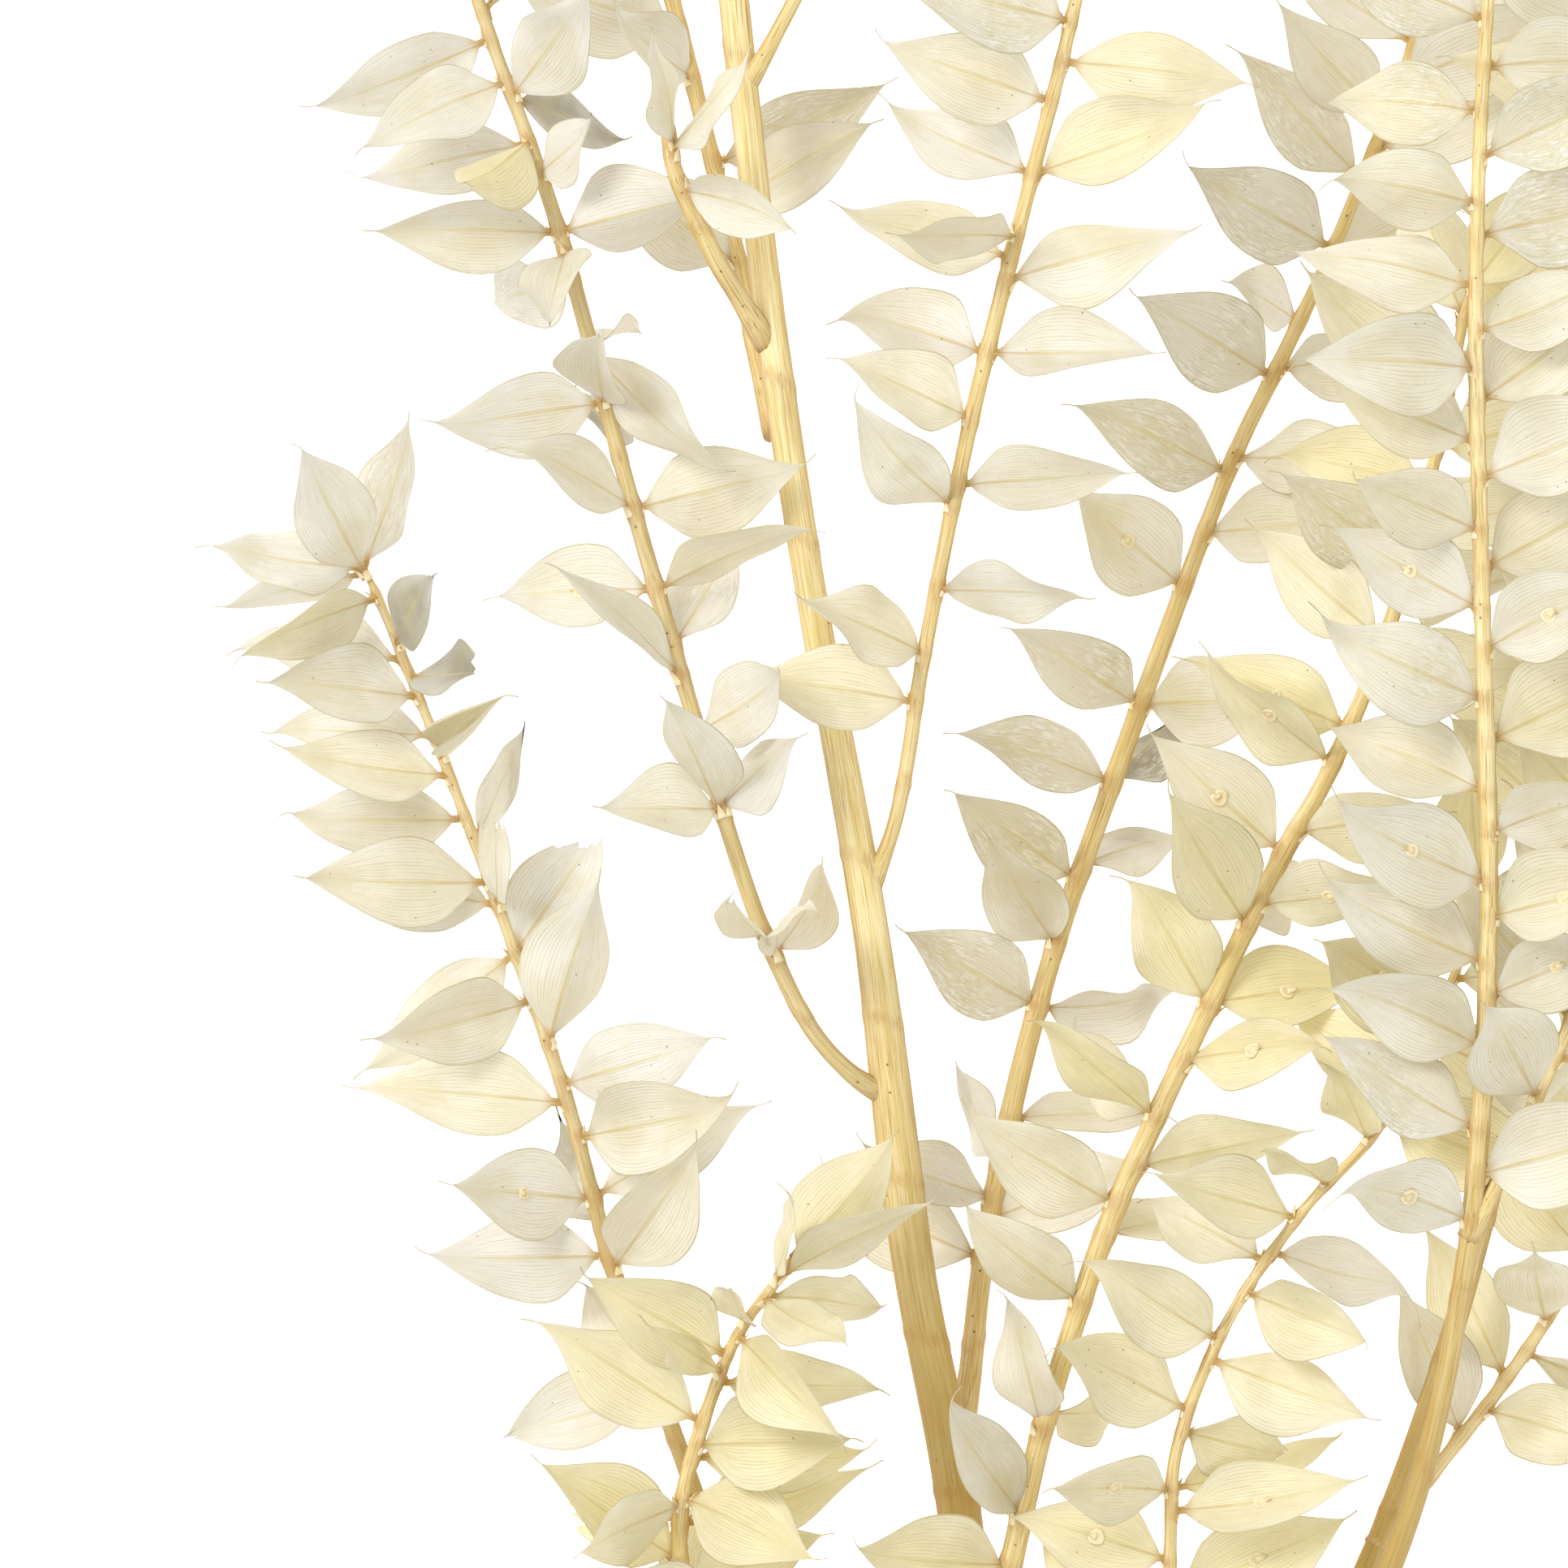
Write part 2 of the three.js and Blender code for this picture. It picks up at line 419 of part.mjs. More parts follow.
// The distance along a shoot at which it passes nearest to a place in plan.
function distanceNear(line, [x, y]) {
  const away = line.points.map((p) => hypot(p.x - x, p.y - y));
  return line.reach[away.indexOf(Math.min(...away))];
}

// A leaf that the photograph shows. moreLift tips it up or down under the same outline.
function seenLeaf(grown, [rootX, rootY, tipX, tipY, wide, layer], draws, moreLift) {
  const distance = distanceNear(grown.line, [rootX, rootY]);
  const root = at(grown.line, distance).point;
  const reach = hypot(tipX - root.x, tipY - root.y);
  const whole = Math.max(reach, between(reach, LEAF_LENGTH, HIDDEN_LENGTH));
  const slope = acos(reach / whole) * (sign(layer) || 1) + radians(layer * LAYER_SLOPE + moreLift);
  const towards = new THREE.Vector3(tipX - root.x, tipY - root.y, reach * tan(slope));
  if (reach / cos(slope) > LONGEST_LEAF) return null;
  const length = towards.length();
  const wholeWidth = Math.max(wide, between(wide, LEAF_WIDTH, HIDDEN_WIDTH));
  const roll = acos(wide / wholeWidth) * (sign(draws.roll) || 1);
  return leafOn(grown, distance, towards.normalize(), roll, length, wholeWidth, draws, SEEN_CALM);
}

// The draws between -1 and 1 that make one leaf differ from the next.
const HABITS = ["lean", "lift", "roll", "size", "width", "bend", "sweep", "twist", "cup", "gap"];
const drawHabits = (draw) => Object.fromEntries(HABITS.map((habit) => [habit, 2 * draw() - 1]));

// Whether a leaf's feelers keep clear of the table, of every stem and of the leaves already there.
function hasRoom(leaf, leaves, woodPoints, ownClear) {
  if (leaf.points.some(({ dip }) => dip > DEEPEST_DIP)) return false;
  const near = woodPoints.filter((w) => w.point.distanceTo(leaf.middle) < leaf.length);
  const inWood = ({ point }) => near.some((w) => w.point.distanceTo(point) < w.radius + WOOD_CLEAR);
  if (leaf.points.some(inWood)) return false;
  return leaves.every((other) => {
    if (other.middle.distanceTo(leaf.middle) > REACH_SHARE * (leaf.length + other.length)) return true;
    const clear = other.stem === leaf.stem ? ownClear : OTHER_STEM_CLEAR;
    return leaf.points.every(({ point }) => other.points.every((o) => o.point.distanceTo(point) > clear));
  });
}

// Of some leaves, each with its clearance from leaves of its own stem, the first that has room joins them.
function addFirstWithRoom(tries, leaves, woodPoints) {
  for (const [leaf, ownClear] of tries) {
    if (!leaf || !hasRoom(leaf, leaves, woodPoints, ownClear)) continue;
    leaves.push(leaf);
    return;
  }
}

// Every leaf of the bunch: first those that the photograph shows, then the others, shoot by shoot.
function growLeaves(lines) {
  const woodPoints = lines.flatMap(({ line, shoot }) => line.points.map((point, i) => ({
    point, radius: thickAt(shoot, line.reach[i] / line.length) / 2,
  })));
  const leaves = [];
  for (const grown of lines) {
    const draw = drawsFrom(grown.shoot.seed);
    for (const mark of grown.shoot.seen ?? []) {
      const draws = drawHabits(draw);
      const tries = [LEAF_CLEAR, CROWDED_CLEAR].flatMap((clear) => (
        SEEN_MORE_LIFT.map((moreLift) => [seenLeaf(grown, mark, draws, moreLift), clear])
      ));
      addFirstWithRoom(tries, leaves, woodPoints);
    }
  }
  for (const grown of lines) {
    const { shoot, line } = grown;
    const draw = drawsFrom(shoot.seed);
    const seen = (shoot.seen ?? []).map((mark) => distanceNear(line, mark));
    const [from, to] = [Math.min(...seen) - shoot.gap / 2, Math.max(...seen) + shoot.gap / 2];
    let distance = shoot.bare;
    for (let index = 0; distance < line.length; index++) {
      const draws = drawHabits(draw);
      const tries = MORE_LEAN.flatMap((moreLean) => (
        MORE_LIFT.map((moreLift) => {
          const leaf = usualLeaf(grown, distance, index, draws, moreLean, moreLift);
          return [leaf, LEAF_CLEAR];
        })
      ));
      if (distance < from || distance > to) addFirstWithRoom(tries, leaves, woodPoints);
      distance += shoot.gap * between(1, TIP_GAP, closedUp(line, distance)) * (1 + GAP_PLAY * draws.gap);
    }
  }
  return leaves;
}

// A closed geometry as a solid that can be joined to others.
function solidOf(geometry) {
  geometry.deleteAttribute("normal");
  geometry.deleteAttribute("uv");
  const merged = mergeVertices(geometry, 1e-4);
  return new wasm.Manifold(new wasm.Mesh({
    numProp: 3,
    vertProperties: merged.attributes.position.array,
    triVerts: new Uint32Array(merged.index.array),
  }));
}

function geometryOf(solid) {
  const { vertProperties, triVerts } = solid.getMesh();
  const geometry = new THREE.BufferGeometry();
  geometry.setAttribute("position", new THREE.BufferAttribute(vertProperties, 3));
  geometry.setIndex(new THREE.BufferAttribute(triVerts, 1));
  return geometry;
}

// A shoot's wood: a closed cylinder with a ring at each point of the route, drawn out to its diameters.
function woodOf(line, shoot, isCutStem) {
  const rings = (line.points.length - 1) / STEPS_PER_SPAN;
  const cylinder = new THREE.CylinderGeometry(1, 1, 1, isCutStem ? CUT_STEM_SIDES : SHOOT_SIDES, rings);
  const position = cylinder.attributes.position;
  const v = new THREE.Vector3();
  for (let i = 0; i < position.count; i++) {
    v.fromBufferAttribute(position, i);
    const step = Math.round((v.y + 0.5) * rings) * STEPS_PER_SPAN;
    const distance = line.reach[step];
    const { point, forward } = at(line, distance);
    const right = forward.clone().cross(UP).normalize();
    const upward = right.clone().cross(forward);
    const radius = thickAt(shoot, distance / line.length) / 2;
    point.addScaledVector(right, v.x * radius).addScaledVector(upward, v.z * radius);
    if (isCutStem && step === 0) point.addScaledVector(forward, CUT_SLANT * radius * v.z);
    position.setXYZ(i, point.x, point.y, Math.max(point.z, 0));
  }
  return solidOf(cylinder);
}

// A leaf as a closed blade with sharp edges. Each section has a left edge, the midrib below, a right edge
// and the midrib above.
function bladeOf(leaf) {
  const sections = CUTS.map((along) => {
    const middle = bladePoint(leaf, along, 0);
    const upper = middle.point.clone().addScaledVector(middle.normal, LEAF_THICK);
    upper.z = Math.max(upper.z, middle.dip > 0 ? LEAF_THICK : upper.z);
    return [bladePoint(leaf, along, -1).point, middle.point, bladePoint(leaf, along, 1).point, upper];
  });
  const root = leaf.root.clone().addScaledVector(leaf.out, -leaf.sunk);
  const tip = bladePoint(leaf, 1, 0).point;
  const corners = [];
  for (let k = 0; k < 4; k++) {
    const next = (k + 1) % 4;
    corners.push(root, sections[0][k], sections[0][next]);
    for (let cut = 1; cut < CUTS.length; cut++) {
      const [near, far] = [sections[cut - 1], sections[cut]];
      corners.push(near[k], far[k], near[next], near[next], far[k], far[next]);
    }
    corners.push(sections.at(-1)[k], tip, sections.at(-1)[next]);
  }
  return solidOf(new THREE.BufferGeometry().setFromPoints(corners));
}

// The stems under the tie, as circles seen along the stems, at both edges of the tie and in its middle.
function stemsAtTie(lines) {
  const cutStems = lines.filter(({ shoot }) => shoot.route[0][1] < TIE_Y);
  return [-0.5, 0, 0.5].flatMap((share) => cutStems.map(({ line, shoot }) => {
    const ring = shoot.route.findIndex(([, y]) => y > TIE_Y);
    const [from, to] = [shoot.route[ring - 1], shoot.route[ring]];
    const along = (TIE_Y + share * TIE_WIDE - from[1]) / (to[1] - from[1]);
    const radius = thickAt(shoot, line.reach[(ring - 1) * STEPS_PER_SPAN] / line.length) / 2;
    return { x: between(from[0], to[0], along), z: between(from[2], to[2], along), radius };
  }));
}

// A loop round those circles at a distance: in each direction, the stem that reaches furthest carries it.
function loopRound(circles, distance) {
  return Array.from({ length: TIE_CORNERS }, (_, k) => {
    const angle = (2 * Math.PI * k) / TIE_CORNERS;
    const [x, z] = [cos(angle), sin(angle)];
    const reachOf = (c) => c.x * x + c.z * z + c.radius;
    const far = circles.reduce((best, c) => (reachOf(c) > reachOf(best) ? c : best));
    return new THREE.Vector2(far.x + (far.radius + distance) * x, far.z + (far.radius + distance) * z);
  });
}

function makeTie(lines) {
  const circles = stemsAtTie(lines);
  const band = new THREE.Shape(loopRound(circles, TIE_CLEAR + TIE_THICK));
  band.holes.push(new THREE.Path(loopRound(circles, TIE_CLEAR)));
  const ring = new THREE.ExtrudeGeometry(band, { depth: TIE_WIDE, bevelEnabled: false });
  ring.rotateX(Math.PI / 2).translate(0, TIE_Y + TIE_WIDE / 2, 0);
  const outer = loopRound(circles, TIE_CLEAR + TIE_THICK);
  const top = outer.reduce((best, p) => (p.y > best.y ? p : best));
  const knot = new THREE.SphereGeometry(KNOT_RADIUS, 8, 6);
  knot.scale(...KNOT_SHAPE).translate(top.x, TIE_Y, top.y);
  let solid = solidOf(ring).add(solidOf(knot));
  const tailThick = { thick: [2 * TAIL_RADIUS, 2 * TAIL_RADIUS] };
  for (const tail of TAILS) {
    const route = tail.map(([right, along, up]) => [top.x + right, TIE_Y + along, top.y + up]);
    solid = solid.add(woodOf(middleLine(route), tailThick, false));
  }
  return solid;
}

const LEAF_CREAM = new THREE.MeshStandardMaterial({ color: 0xece4c8, roughness: 0.62, metalness: 0 });
const TWINE_TAN = new THREE.MeshStandardMaterial({ color: 0xb99a68, roughness: 0.9, metalness: 0 });

function meshOf(name, solid, material) {
  const mesh = new THREE.Mesh(geometryOf(solid), material);
  mesh.name = name;
  return mesh;
}

const lines = SHOOTS.map((shoot) => ({ shoot, line: middleLine(shoot.route) }));
const leaves = growLeaves(lines);
const bunch = new THREE.Group();
bunch.name = "dried_ruscus_bunch";
for (const stem of new Set(SHOOTS.map((shoot) => shoot.stem))) {
  const own = lines.filter(({ shoot }) => shoot.stem === stem);
  const wood = own.map(({ line, shoot }) => woodOf(line, shoot, shoot === own[0].shoot));
  const blades = leaves.filter((leaf) => leaf.stem === stem).map(bladeOf);
  bunch.add(meshOf(stem, wasm.Manifold.union([...wood, ...blades]), LEAF_CREAM));
}
bunch.add(meshOf("twine_tie", makeTie(lines), TWINE_TAN));

// The origin is on the table, under the middle of the bunch.
const middle = new THREE.Box3().setFromObject(bunch).getCenter(new THREE.Vector3());
bunch.position.set(-middle.x, -middle.y, 0);

export default bunch;
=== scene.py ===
# %% [markdown]
# # A bunch of dried, bleached ruscus
# Ruscus is a shrub whose flat, pointed leaves are really flattened twigs. Cut, bleached and dried, its
# shoots turn straw yellow, and the leaves turn cream, stiff and papery.
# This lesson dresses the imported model: four cut stems with their side shoots and leaves, and a twine tie.
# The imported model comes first, as a frame that nothing here moves.

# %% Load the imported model
import math
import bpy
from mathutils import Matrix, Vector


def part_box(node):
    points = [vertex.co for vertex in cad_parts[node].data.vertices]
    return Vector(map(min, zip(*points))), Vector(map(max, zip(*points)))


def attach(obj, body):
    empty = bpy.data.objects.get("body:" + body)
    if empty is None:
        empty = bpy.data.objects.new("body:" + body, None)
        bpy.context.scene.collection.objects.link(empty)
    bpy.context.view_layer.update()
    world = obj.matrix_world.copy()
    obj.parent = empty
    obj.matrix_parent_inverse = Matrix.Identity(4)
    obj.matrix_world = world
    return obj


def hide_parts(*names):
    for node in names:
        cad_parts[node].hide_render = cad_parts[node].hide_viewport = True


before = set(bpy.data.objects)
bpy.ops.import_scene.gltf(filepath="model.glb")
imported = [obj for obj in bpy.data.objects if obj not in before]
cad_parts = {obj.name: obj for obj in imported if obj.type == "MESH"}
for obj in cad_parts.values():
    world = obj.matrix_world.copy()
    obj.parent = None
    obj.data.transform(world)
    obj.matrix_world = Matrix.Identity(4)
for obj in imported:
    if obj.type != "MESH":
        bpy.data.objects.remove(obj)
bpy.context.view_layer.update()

from types import SimpleNamespace

import bpy
import numpy as np
from mathutils import Vector
from mathutils.bvhtree import BVHTree

MM = 0.001

# %% [markdown]
# ## The route of every shoot
# A shoot is drawn as a smooth line through a few points [x, y, height] in millimetres, from root to tip.
# They are the points that the solids were made from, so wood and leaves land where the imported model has
# them. The first word of a shoot's name is that of its stem. Then come its seed, its thickness from root
# to tip, the length without leaves, the distance between leaves, the angle of its leaves on the left and
# on the right, and, for the looks, how yellow and how grey its leaves have turned.
#
# The last list holds the leaves that were measured in the photograph: x and y of the root, x and y of the
# tip, the width, the layer from -2 at the back to 2 in front, and letters for the looks. Those are
# y yellow, w white, g grey, o olive, d dark, f flaky, t torn, c curled, r rolled, s with a flower scar.

# %% The middle stem and its side shoots
SHOOTS = []


def shoot(name, seed, thick, bare, gap, lean, yellow, grey, route, seen=()):
    SHOOTS.append(SimpleNamespace(
        stem="stem_" + name.split("_")[0], name=name, seed=seed, thick=thick, bare=bare, gap=gap, lean=lean,
        yellow=yellow, grey=grey, route=np.array(route, float), seen=seen,
    ))


shoot("middle_trunk", 11, [6.6, 6.3, 6.5, 6.8, 6.6, 4.9, 4.7, 4.4, 3, 1.5], 505, 6.8, [68, 68], 0.35, 0.2, [
    [14, -212, 3.5], [10.2, -165, 5.5], [8, -135, 7.4], [4.5, -55, 14], [0, 0, 20], [-7.5, 41, 25],
    [-14, 92, 29], [-22.9, 142, 31], [-29, 182, 32], [-33.5, 220, 32], [-38, 262, 31], [-44, 305, 30],
    [-51, 350, 26], [-57, 392, 19]])
shoot("middle_lone_right", 966, [2.2, 2.5, 1.5], 31, 6.8, [89, 62], 0.4, 0.25, [
    [-14, 98, 29], [-10.4, 108, 33], [-8.2, 119, 36], [-5.9, 134, 39], [1.3, 170, 41], [11.3, 210, 42],
    [15.9, 228, 41], [22, 255, 38], [29, 284, 34]], [
    (-6.2, 134.4, -24.4, 144, 10.2, 1, ""), (-2.5, 158.8, -18.8, 172.2, 9.5, 1, "w"),
    (1.2, 171.6, -19.4, 180, 11.5, 2, "w"), (2.5, 179.8, -19.6, 189.8, 10.5, -1, "g"),
    (5.4, 193.8, -20.9, 202.8, 11.9, 0, "w"), (9.1, 199, -11.9, 201, 8.2, 2, ""),
    (9.6, 208.5, -13.4, 218.1, 11, -1, "g"), (11.6, 218.8, -13.8, 228, 13, 1, "w"),
    (-2.5, 143.1, 18.8, 143.4, 8.5, 1, ""), (1.2, 159.4, 26.9, 163.1, 10, 0, ""),
    (5.4, 178.1, 31.9, 178.1, 11.2, 1, ""), (8.5, 191.9, 35.6, 201.5, 12.5, 1, "w"),
    (13.1, 206.9, 39.4, 217.2, 11.9, 0, ""), (16.6, 223.8, 45.4, 222.1, 12, 1, "")])
shoot("middle_low_right", 520, [3.6, 3.3, 1.6], 17, 6.7, [81, 64], 0.6, 0.1, [
    [3, -22, 17.5], [7, -9, 22], [9.1, 0, 25], [12.5, 15, 29], [16.9, 30, 32], [25, 52.5, 34],
    [46.9, 99, 37], [56.9, 117.5, 38], [66, 140, 37], [73, 166, 34], [78, 190, 31]], [
    (7.9, 1.5, -6.2, 21.9, 9.5, 2, "o"), (12.9, 15, 6.9, 35.6, 10.2, 0, "w"),
    (16.6, 34.6, -1.2, 50, 10.5, 1, ""), (22.5, 50.6, -1.2, 63.1, 11.9, 2, ""),
    (31.9, 61.9, 10.6, 80.6, 8.2, 2, "y"), (30.6, 63.5, 14.4, 78.1, 10.2, -2, "g"),
    (36.2, 80.6, 25, 101.9, 12.5, 0, "y"), (43.1, 91.9, 28.1, 114.6, 14, 1, "y"),
    (48.1, 104.4, 26.9, 122.5, 13, 0, "ys"), (56.2, 116.9, 35, 133.8, 9.5, 1, "ys"),
    (13.8, 16.9, 30, 17.2, 7.5, -1, "y"), (23.8, 43.8, 39.4, 47.5, 6.8, -1, "o"),
    (27.5, 55, 53.8, 61.9, 9.2, 0, ""), (36.6, 71, 57.5, 76.2, 10, 1, "ys"),
    (39.4, 79.4, 64.4, 85, 12.2, 0, "ys"), (48.1, 96.2, 70, 98.8, 8.8, 1, "ws"),
    (43.8, 91.2, 53.1, 102.8, 7.5, -2, "o"), (52.5, 106.2, 75.6, 110, 11.2, 0, "w")])
shoot("middle_bow_left", 543, [2.6, 2.6, 1.5], 31, 6.8, [57, 47], 0.35, 0.35, [
    [-11.5, 66, 26.5], [-17.5, 70, 31], [-23.5, 77, 34], [-29, 88, 36], [-35, 104, 38], [-49.4, 152.5, 38],
    [-61.9, 199, 36], [-72.5, 229, 33], [-82, 257, 29], [-91, 286, 24]], [
    (-31.2, 90.6, -36.9, 96.9, 4.8, 1, "tw"), (-29, 87.9, -28.5, 100.2, 4.5, 1, "w"),
    (-28.4, 88.5, -18.8, 104.4, 7.5, -1, "w"), (-38.4, 109.6, -56.2, 110, 10.5, 0, "w"),
    (-36.9, 109.4, -46.2, 128.1, 9.8, 1, "w"), (-36.5, 108.8, -26.9, 123.4, 8, 0, "g"),
    (-39.4, 123.8, -24.1, 132.2, 10.8, 1, "c"), (-43.8, 129.6, -65, 146, 5, 2, "y"),
    (-48.8, 143.5, -71.6, 143.8, 13.2, -1, "s"), (-46.6, 145.6, -23.1, 157.5, 7.2, 1, "y"),
    (-44.1, 136.9, -32.5, 151.5, 10.5, -1, "gf"), (-49, 156, -22.5, 164.1, 13.2, 0, ""),
    (-55.4, 181.2, -36, 159.1, 9, 2, "yo"), (-51.9, 158.1, -70.4, 167.9, 8.8, 1, ""),
    (-56.2, 174.4, -83.1, 169.6, 12.5, 0, ""), (-52.5, 163.1, -60, 175, 4.5, -1, "d"),
    (-54.1, 171, -56.2, 183.5, 9.5, 2, "to"), (-58.1, 182.5, -49.4, 186, 2.8, -1, ""),
    (-60.4, 196, -61.9, 183.1, 9.5, 2, "tg"), (-63.1, 200, -91.9, 200.4, 11.2, 1, "o"),
    (-61.2, 191.9, -75, 188.5, 9.8, -2, "gf"), (-64.6, 212.2, -76.6, 204.4, 10, 2, "ty"),
    (-60, 197.9, -37.9, 205.2, 13.5, 0, "g"), (-66.9, 219.4, -52.1, 211.9, 7.8, -1, "dg"),
    (-62.9, 206.9, -55.6, 216.2, 8.2, 0, "tg"), (-66.6, 219.6, -55.4, 237.5, 12.2, 1, "g"),
    (-68.1, 212.8, -94.4, 209, 9.5, -1, "g"), (-70, 221.5, -93.1, 212.8, 10.8, 1, "y"),
    (-73.4, 228.1, -100.9, 216.2, 11.5, 0, "g")])
shoot("middle_behind_right", 759, [3.6, 3, 1.5], 33, 6, [78, 50], 0.35, 0.5, [
    [-1.5, 9, 20], [1.2, 21, 16], [3.5, 40, 12.5], [8.1, 64, 10], [14.4, 87.5, 8.5], [22.5, 111, 8],
    [40.6, 160, 8], [49.4, 179, 8], [58.1, 197.5, 8.5], [69, 225, 9.5], [79, 252, 11]], [
    (6.2, 50, -17.5, 57, 8.5, 0, "g"), (7.1, 56.2, -2.8, 70.9, 7, -1, "g"),
    (10, 79.4, -10.6, 91.2, 12.5, 1, "of"), (17.5, 100, -3.8, 114, 11.2, 0, "of"),
    (22.9, 113.1, -1.9, 123.4, 10, 1, "of"), (26.2, 128.8, 6.9, 139.4, 11.9, 1, "of"),
    (35, 143.1, 15.9, 160, 14.8, 0, "os"), (41.2, 161.6, 17.5, 173.1, 12.5, 1, "of"),
    (47.9, 177.2, 25, 191.9, 14.2, 1, "gf"), (56.9, 197.5, 32.5, 211, 13.8, 1, "gf"),
    (61.2, 209.4, 40.9, 228.5, 11.9, 0, "of"), (10, 62.2, 35.6, 63.8, 6.2, -1, "yo"),
    (13.1, 80, 36.9, 80, 7.8, -1, "g"), (15.9, 88.1, 3.4, 106.2, 10.5, 2, "o"),
    (20.6, 100.2, 35.6, 108.8, 7.5, -1, ""), (26.2, 114.4, 35.6, 127.5, 7.5, -1, "df"),
    (30, 127.9, 51.9, 128.8, 13.8, 0, "o"), (40.6, 150.6, 61.9, 153.8, 11.2, 0, "to"),
    (45, 165, 69.4, 163.1, 10.8, 0, "w"), (53.4, 185.6, 43.1, 195.6, 7.5, -1, "g"),
    (51.2, 178.1, 75.6, 182.5, 12, 0, ""), (56.9, 196.2, 76.9, 205, 11.2, -1, "")])
shoot("middle_broken", 248, [2.8, 3, 2.3], 60, 3.8, [25, 72], 0.1, 0.2, [
    [-30, 182, 32], [-34.4, 189, 38], [-38.1, 195, 43], [-43.8, 207, 48], [-44.9, 213, 49]], [
    (-43.4, 211.2, -45, 228.8, 4, 1, "w"), (-42.8, 210.5, -30.4, 227.2, 5, 2, "w"),
    (-42.5, 206, -23.1, 200.4, 7.8, 1, "w")])
shoot("middle_behind", 870, [3, 2.7, 1.4], 30, 6.8, [56, 66], 0.3, 0.6, [
    [-28.5, 168, 30], [-31.5, 180, 24], [-34.5, 195, 17.5], [-38.8, 212, 13], [-43.5, 231, 9.5],
    [-51, 260, 8], [-60, 290, 9]], [
    (-32.9, 211.2, -9.1, 222.5, 10.5, 0, "fo"), (-31.9, 203.8, -13.8, 218.4, 11.5, 1, "o"),
    (-42.8, 223.5, -55.6, 232.5, 9.5, 0, "g")])
shoot("middle_upper_right", 37, [2.4, 1.3], 22, 6.8, [70, 66], 0.35, 0.3, [
    [-33.6, 221, 31.5], [-28.8, 229, 35], [-22, 243, 39], [-14, 268, 41], [-7, 296, 39], [-1, 322, 35]])
shoot("middle_upper_left", 53, [2.2, 1.2], 20, 6.6, [70, 62], 0.35, 0.3, [
    [-38.5, 265, 31], [-45, 274, 32], [-55, 290, 32], [-68, 318, 30], [-78, 345, 26], [-84, 366, 22]])
shoot("middle_top", 61, [2.2, 1.2], 18, 6.6, [64, 70], 0.4, 0.3, [
    [-43, 298, 30.5], [-37, 308, 26], [-29, 324, 18], [-21, 348, 11], [-17, 374, 8.5]])
shoot("middle_short", 71, [2, 1.2], 16, 6.4, [62, 62], 0.5, 0.3, [
    [7, -105, 9.5], [1, -92, 8.5], [-6, -77, 7.5], [-11, -58, 7], [-13, -42, 7.5]])
print(len(SHOOTS), "shoots on the middle stem")

# %% The other three stems
shoot("left_trunk", 745, [5, 1.3], 237, 4.4, [69, 45], 0.35, 0.3, [
    [-6, -206, 2.6], [-3.7, -165, 4.7], [-4.2, -135, 6], [-9, -105, 8], [-18, -68, 10], [-27, -36, 12],
    [-38, -5, 14], [-45.3, 15.6, 14], [-54, 39, 14], [-61.9, 67.5, 13], [-76.9, 109, 11], [-90, 142, 11.5],
    [-93, 147.5, 12]], [
    (-62.5, 65.2, -95.6, 67.5, 12.8, 1, ""), (-92.5, 147.1, -103.5, 167.6, 11.9, 2, "g"),
    (-90.9, 148.5, -83.5, 173.5, 9, -1, "gf"), (-93.1, 147.5, -117.1, 150.8, 8.5, 1, "g"),
    (-93.6, 146.8, -116.2, 143.4, 6.5, -1, "g"), (-91.6, 142.2, -114.6, 134.4, 9.8, 1, "y"),
    (-86.9, 133.1, -114.4, 137.5, 9.8, -1, "g"), (-83.1, 127.2, -110.2, 129.6, 11.5, 1, ""),
    (-81.2, 122.9, -109.1, 122.2, 7.8, -1, ""), (-79.1, 114.4, -107.5, 117.8, 9, 1, ""),
    (-78.8, 109.8, -106.2, 107.5, 10.5, 0, "o"), (-74.6, 100.2, -105, 97.9, 12.8, 2, ""),
    (-74.6, 96, -100, 99.4, 11.5, -1, "g"), (-87.2, 136.9, -80.6, 149, 7.8, 1, "td"),
    (-83.1, 130.2, -70.6, 130.6, 6.5, 1, "td"), (-79, 119.1, -73.1, 128.8, 9, 1, "yr"),
    (-75.9, 107.5, -65, 124, 6.5, -1, "gf"), (-71.6, 94, -70, 111.9, 6.5, 1, "tw"),
    (-68.8, 87.1, -55, 109.6, 12.2, 0, "tg"), (-63.1, 74.8, -57.5, 100.6, 13.5, 1, ""),
    (-66.2, 81.2, -94, 72.5, 12, 2, ""), (-69.6, 86.2, -93.1, 68.1, 10.5, -2, "o"),
    (-60, 66.9, -38.1, 74.4, 13.2, 1, "g"), (-58.1, 59.6, -30, 65.6, 13.8, 2, ""),
    (-55.9, 51.2, -30.4, 66.2, 10.5, -1, "g"), (-59.1, 50.4, -82.1, 51.9, 13.5, 0, "gs"),
    (-56.2, 45, -63.1, 62.8, 8.8, -2, "gf"), (-55.6, 40.9, -84.8, 40, 13.2, 1, "g"),
    (-53.5, 38.8, -40, 58.8, 12.5, 1, "y"), (-48.8, 23.8, -58.5, 36.5, 7.5, -1, "y"),
    (-48.1, 18.1, -72.8, 13.4, 11.5, -1, "gt")])
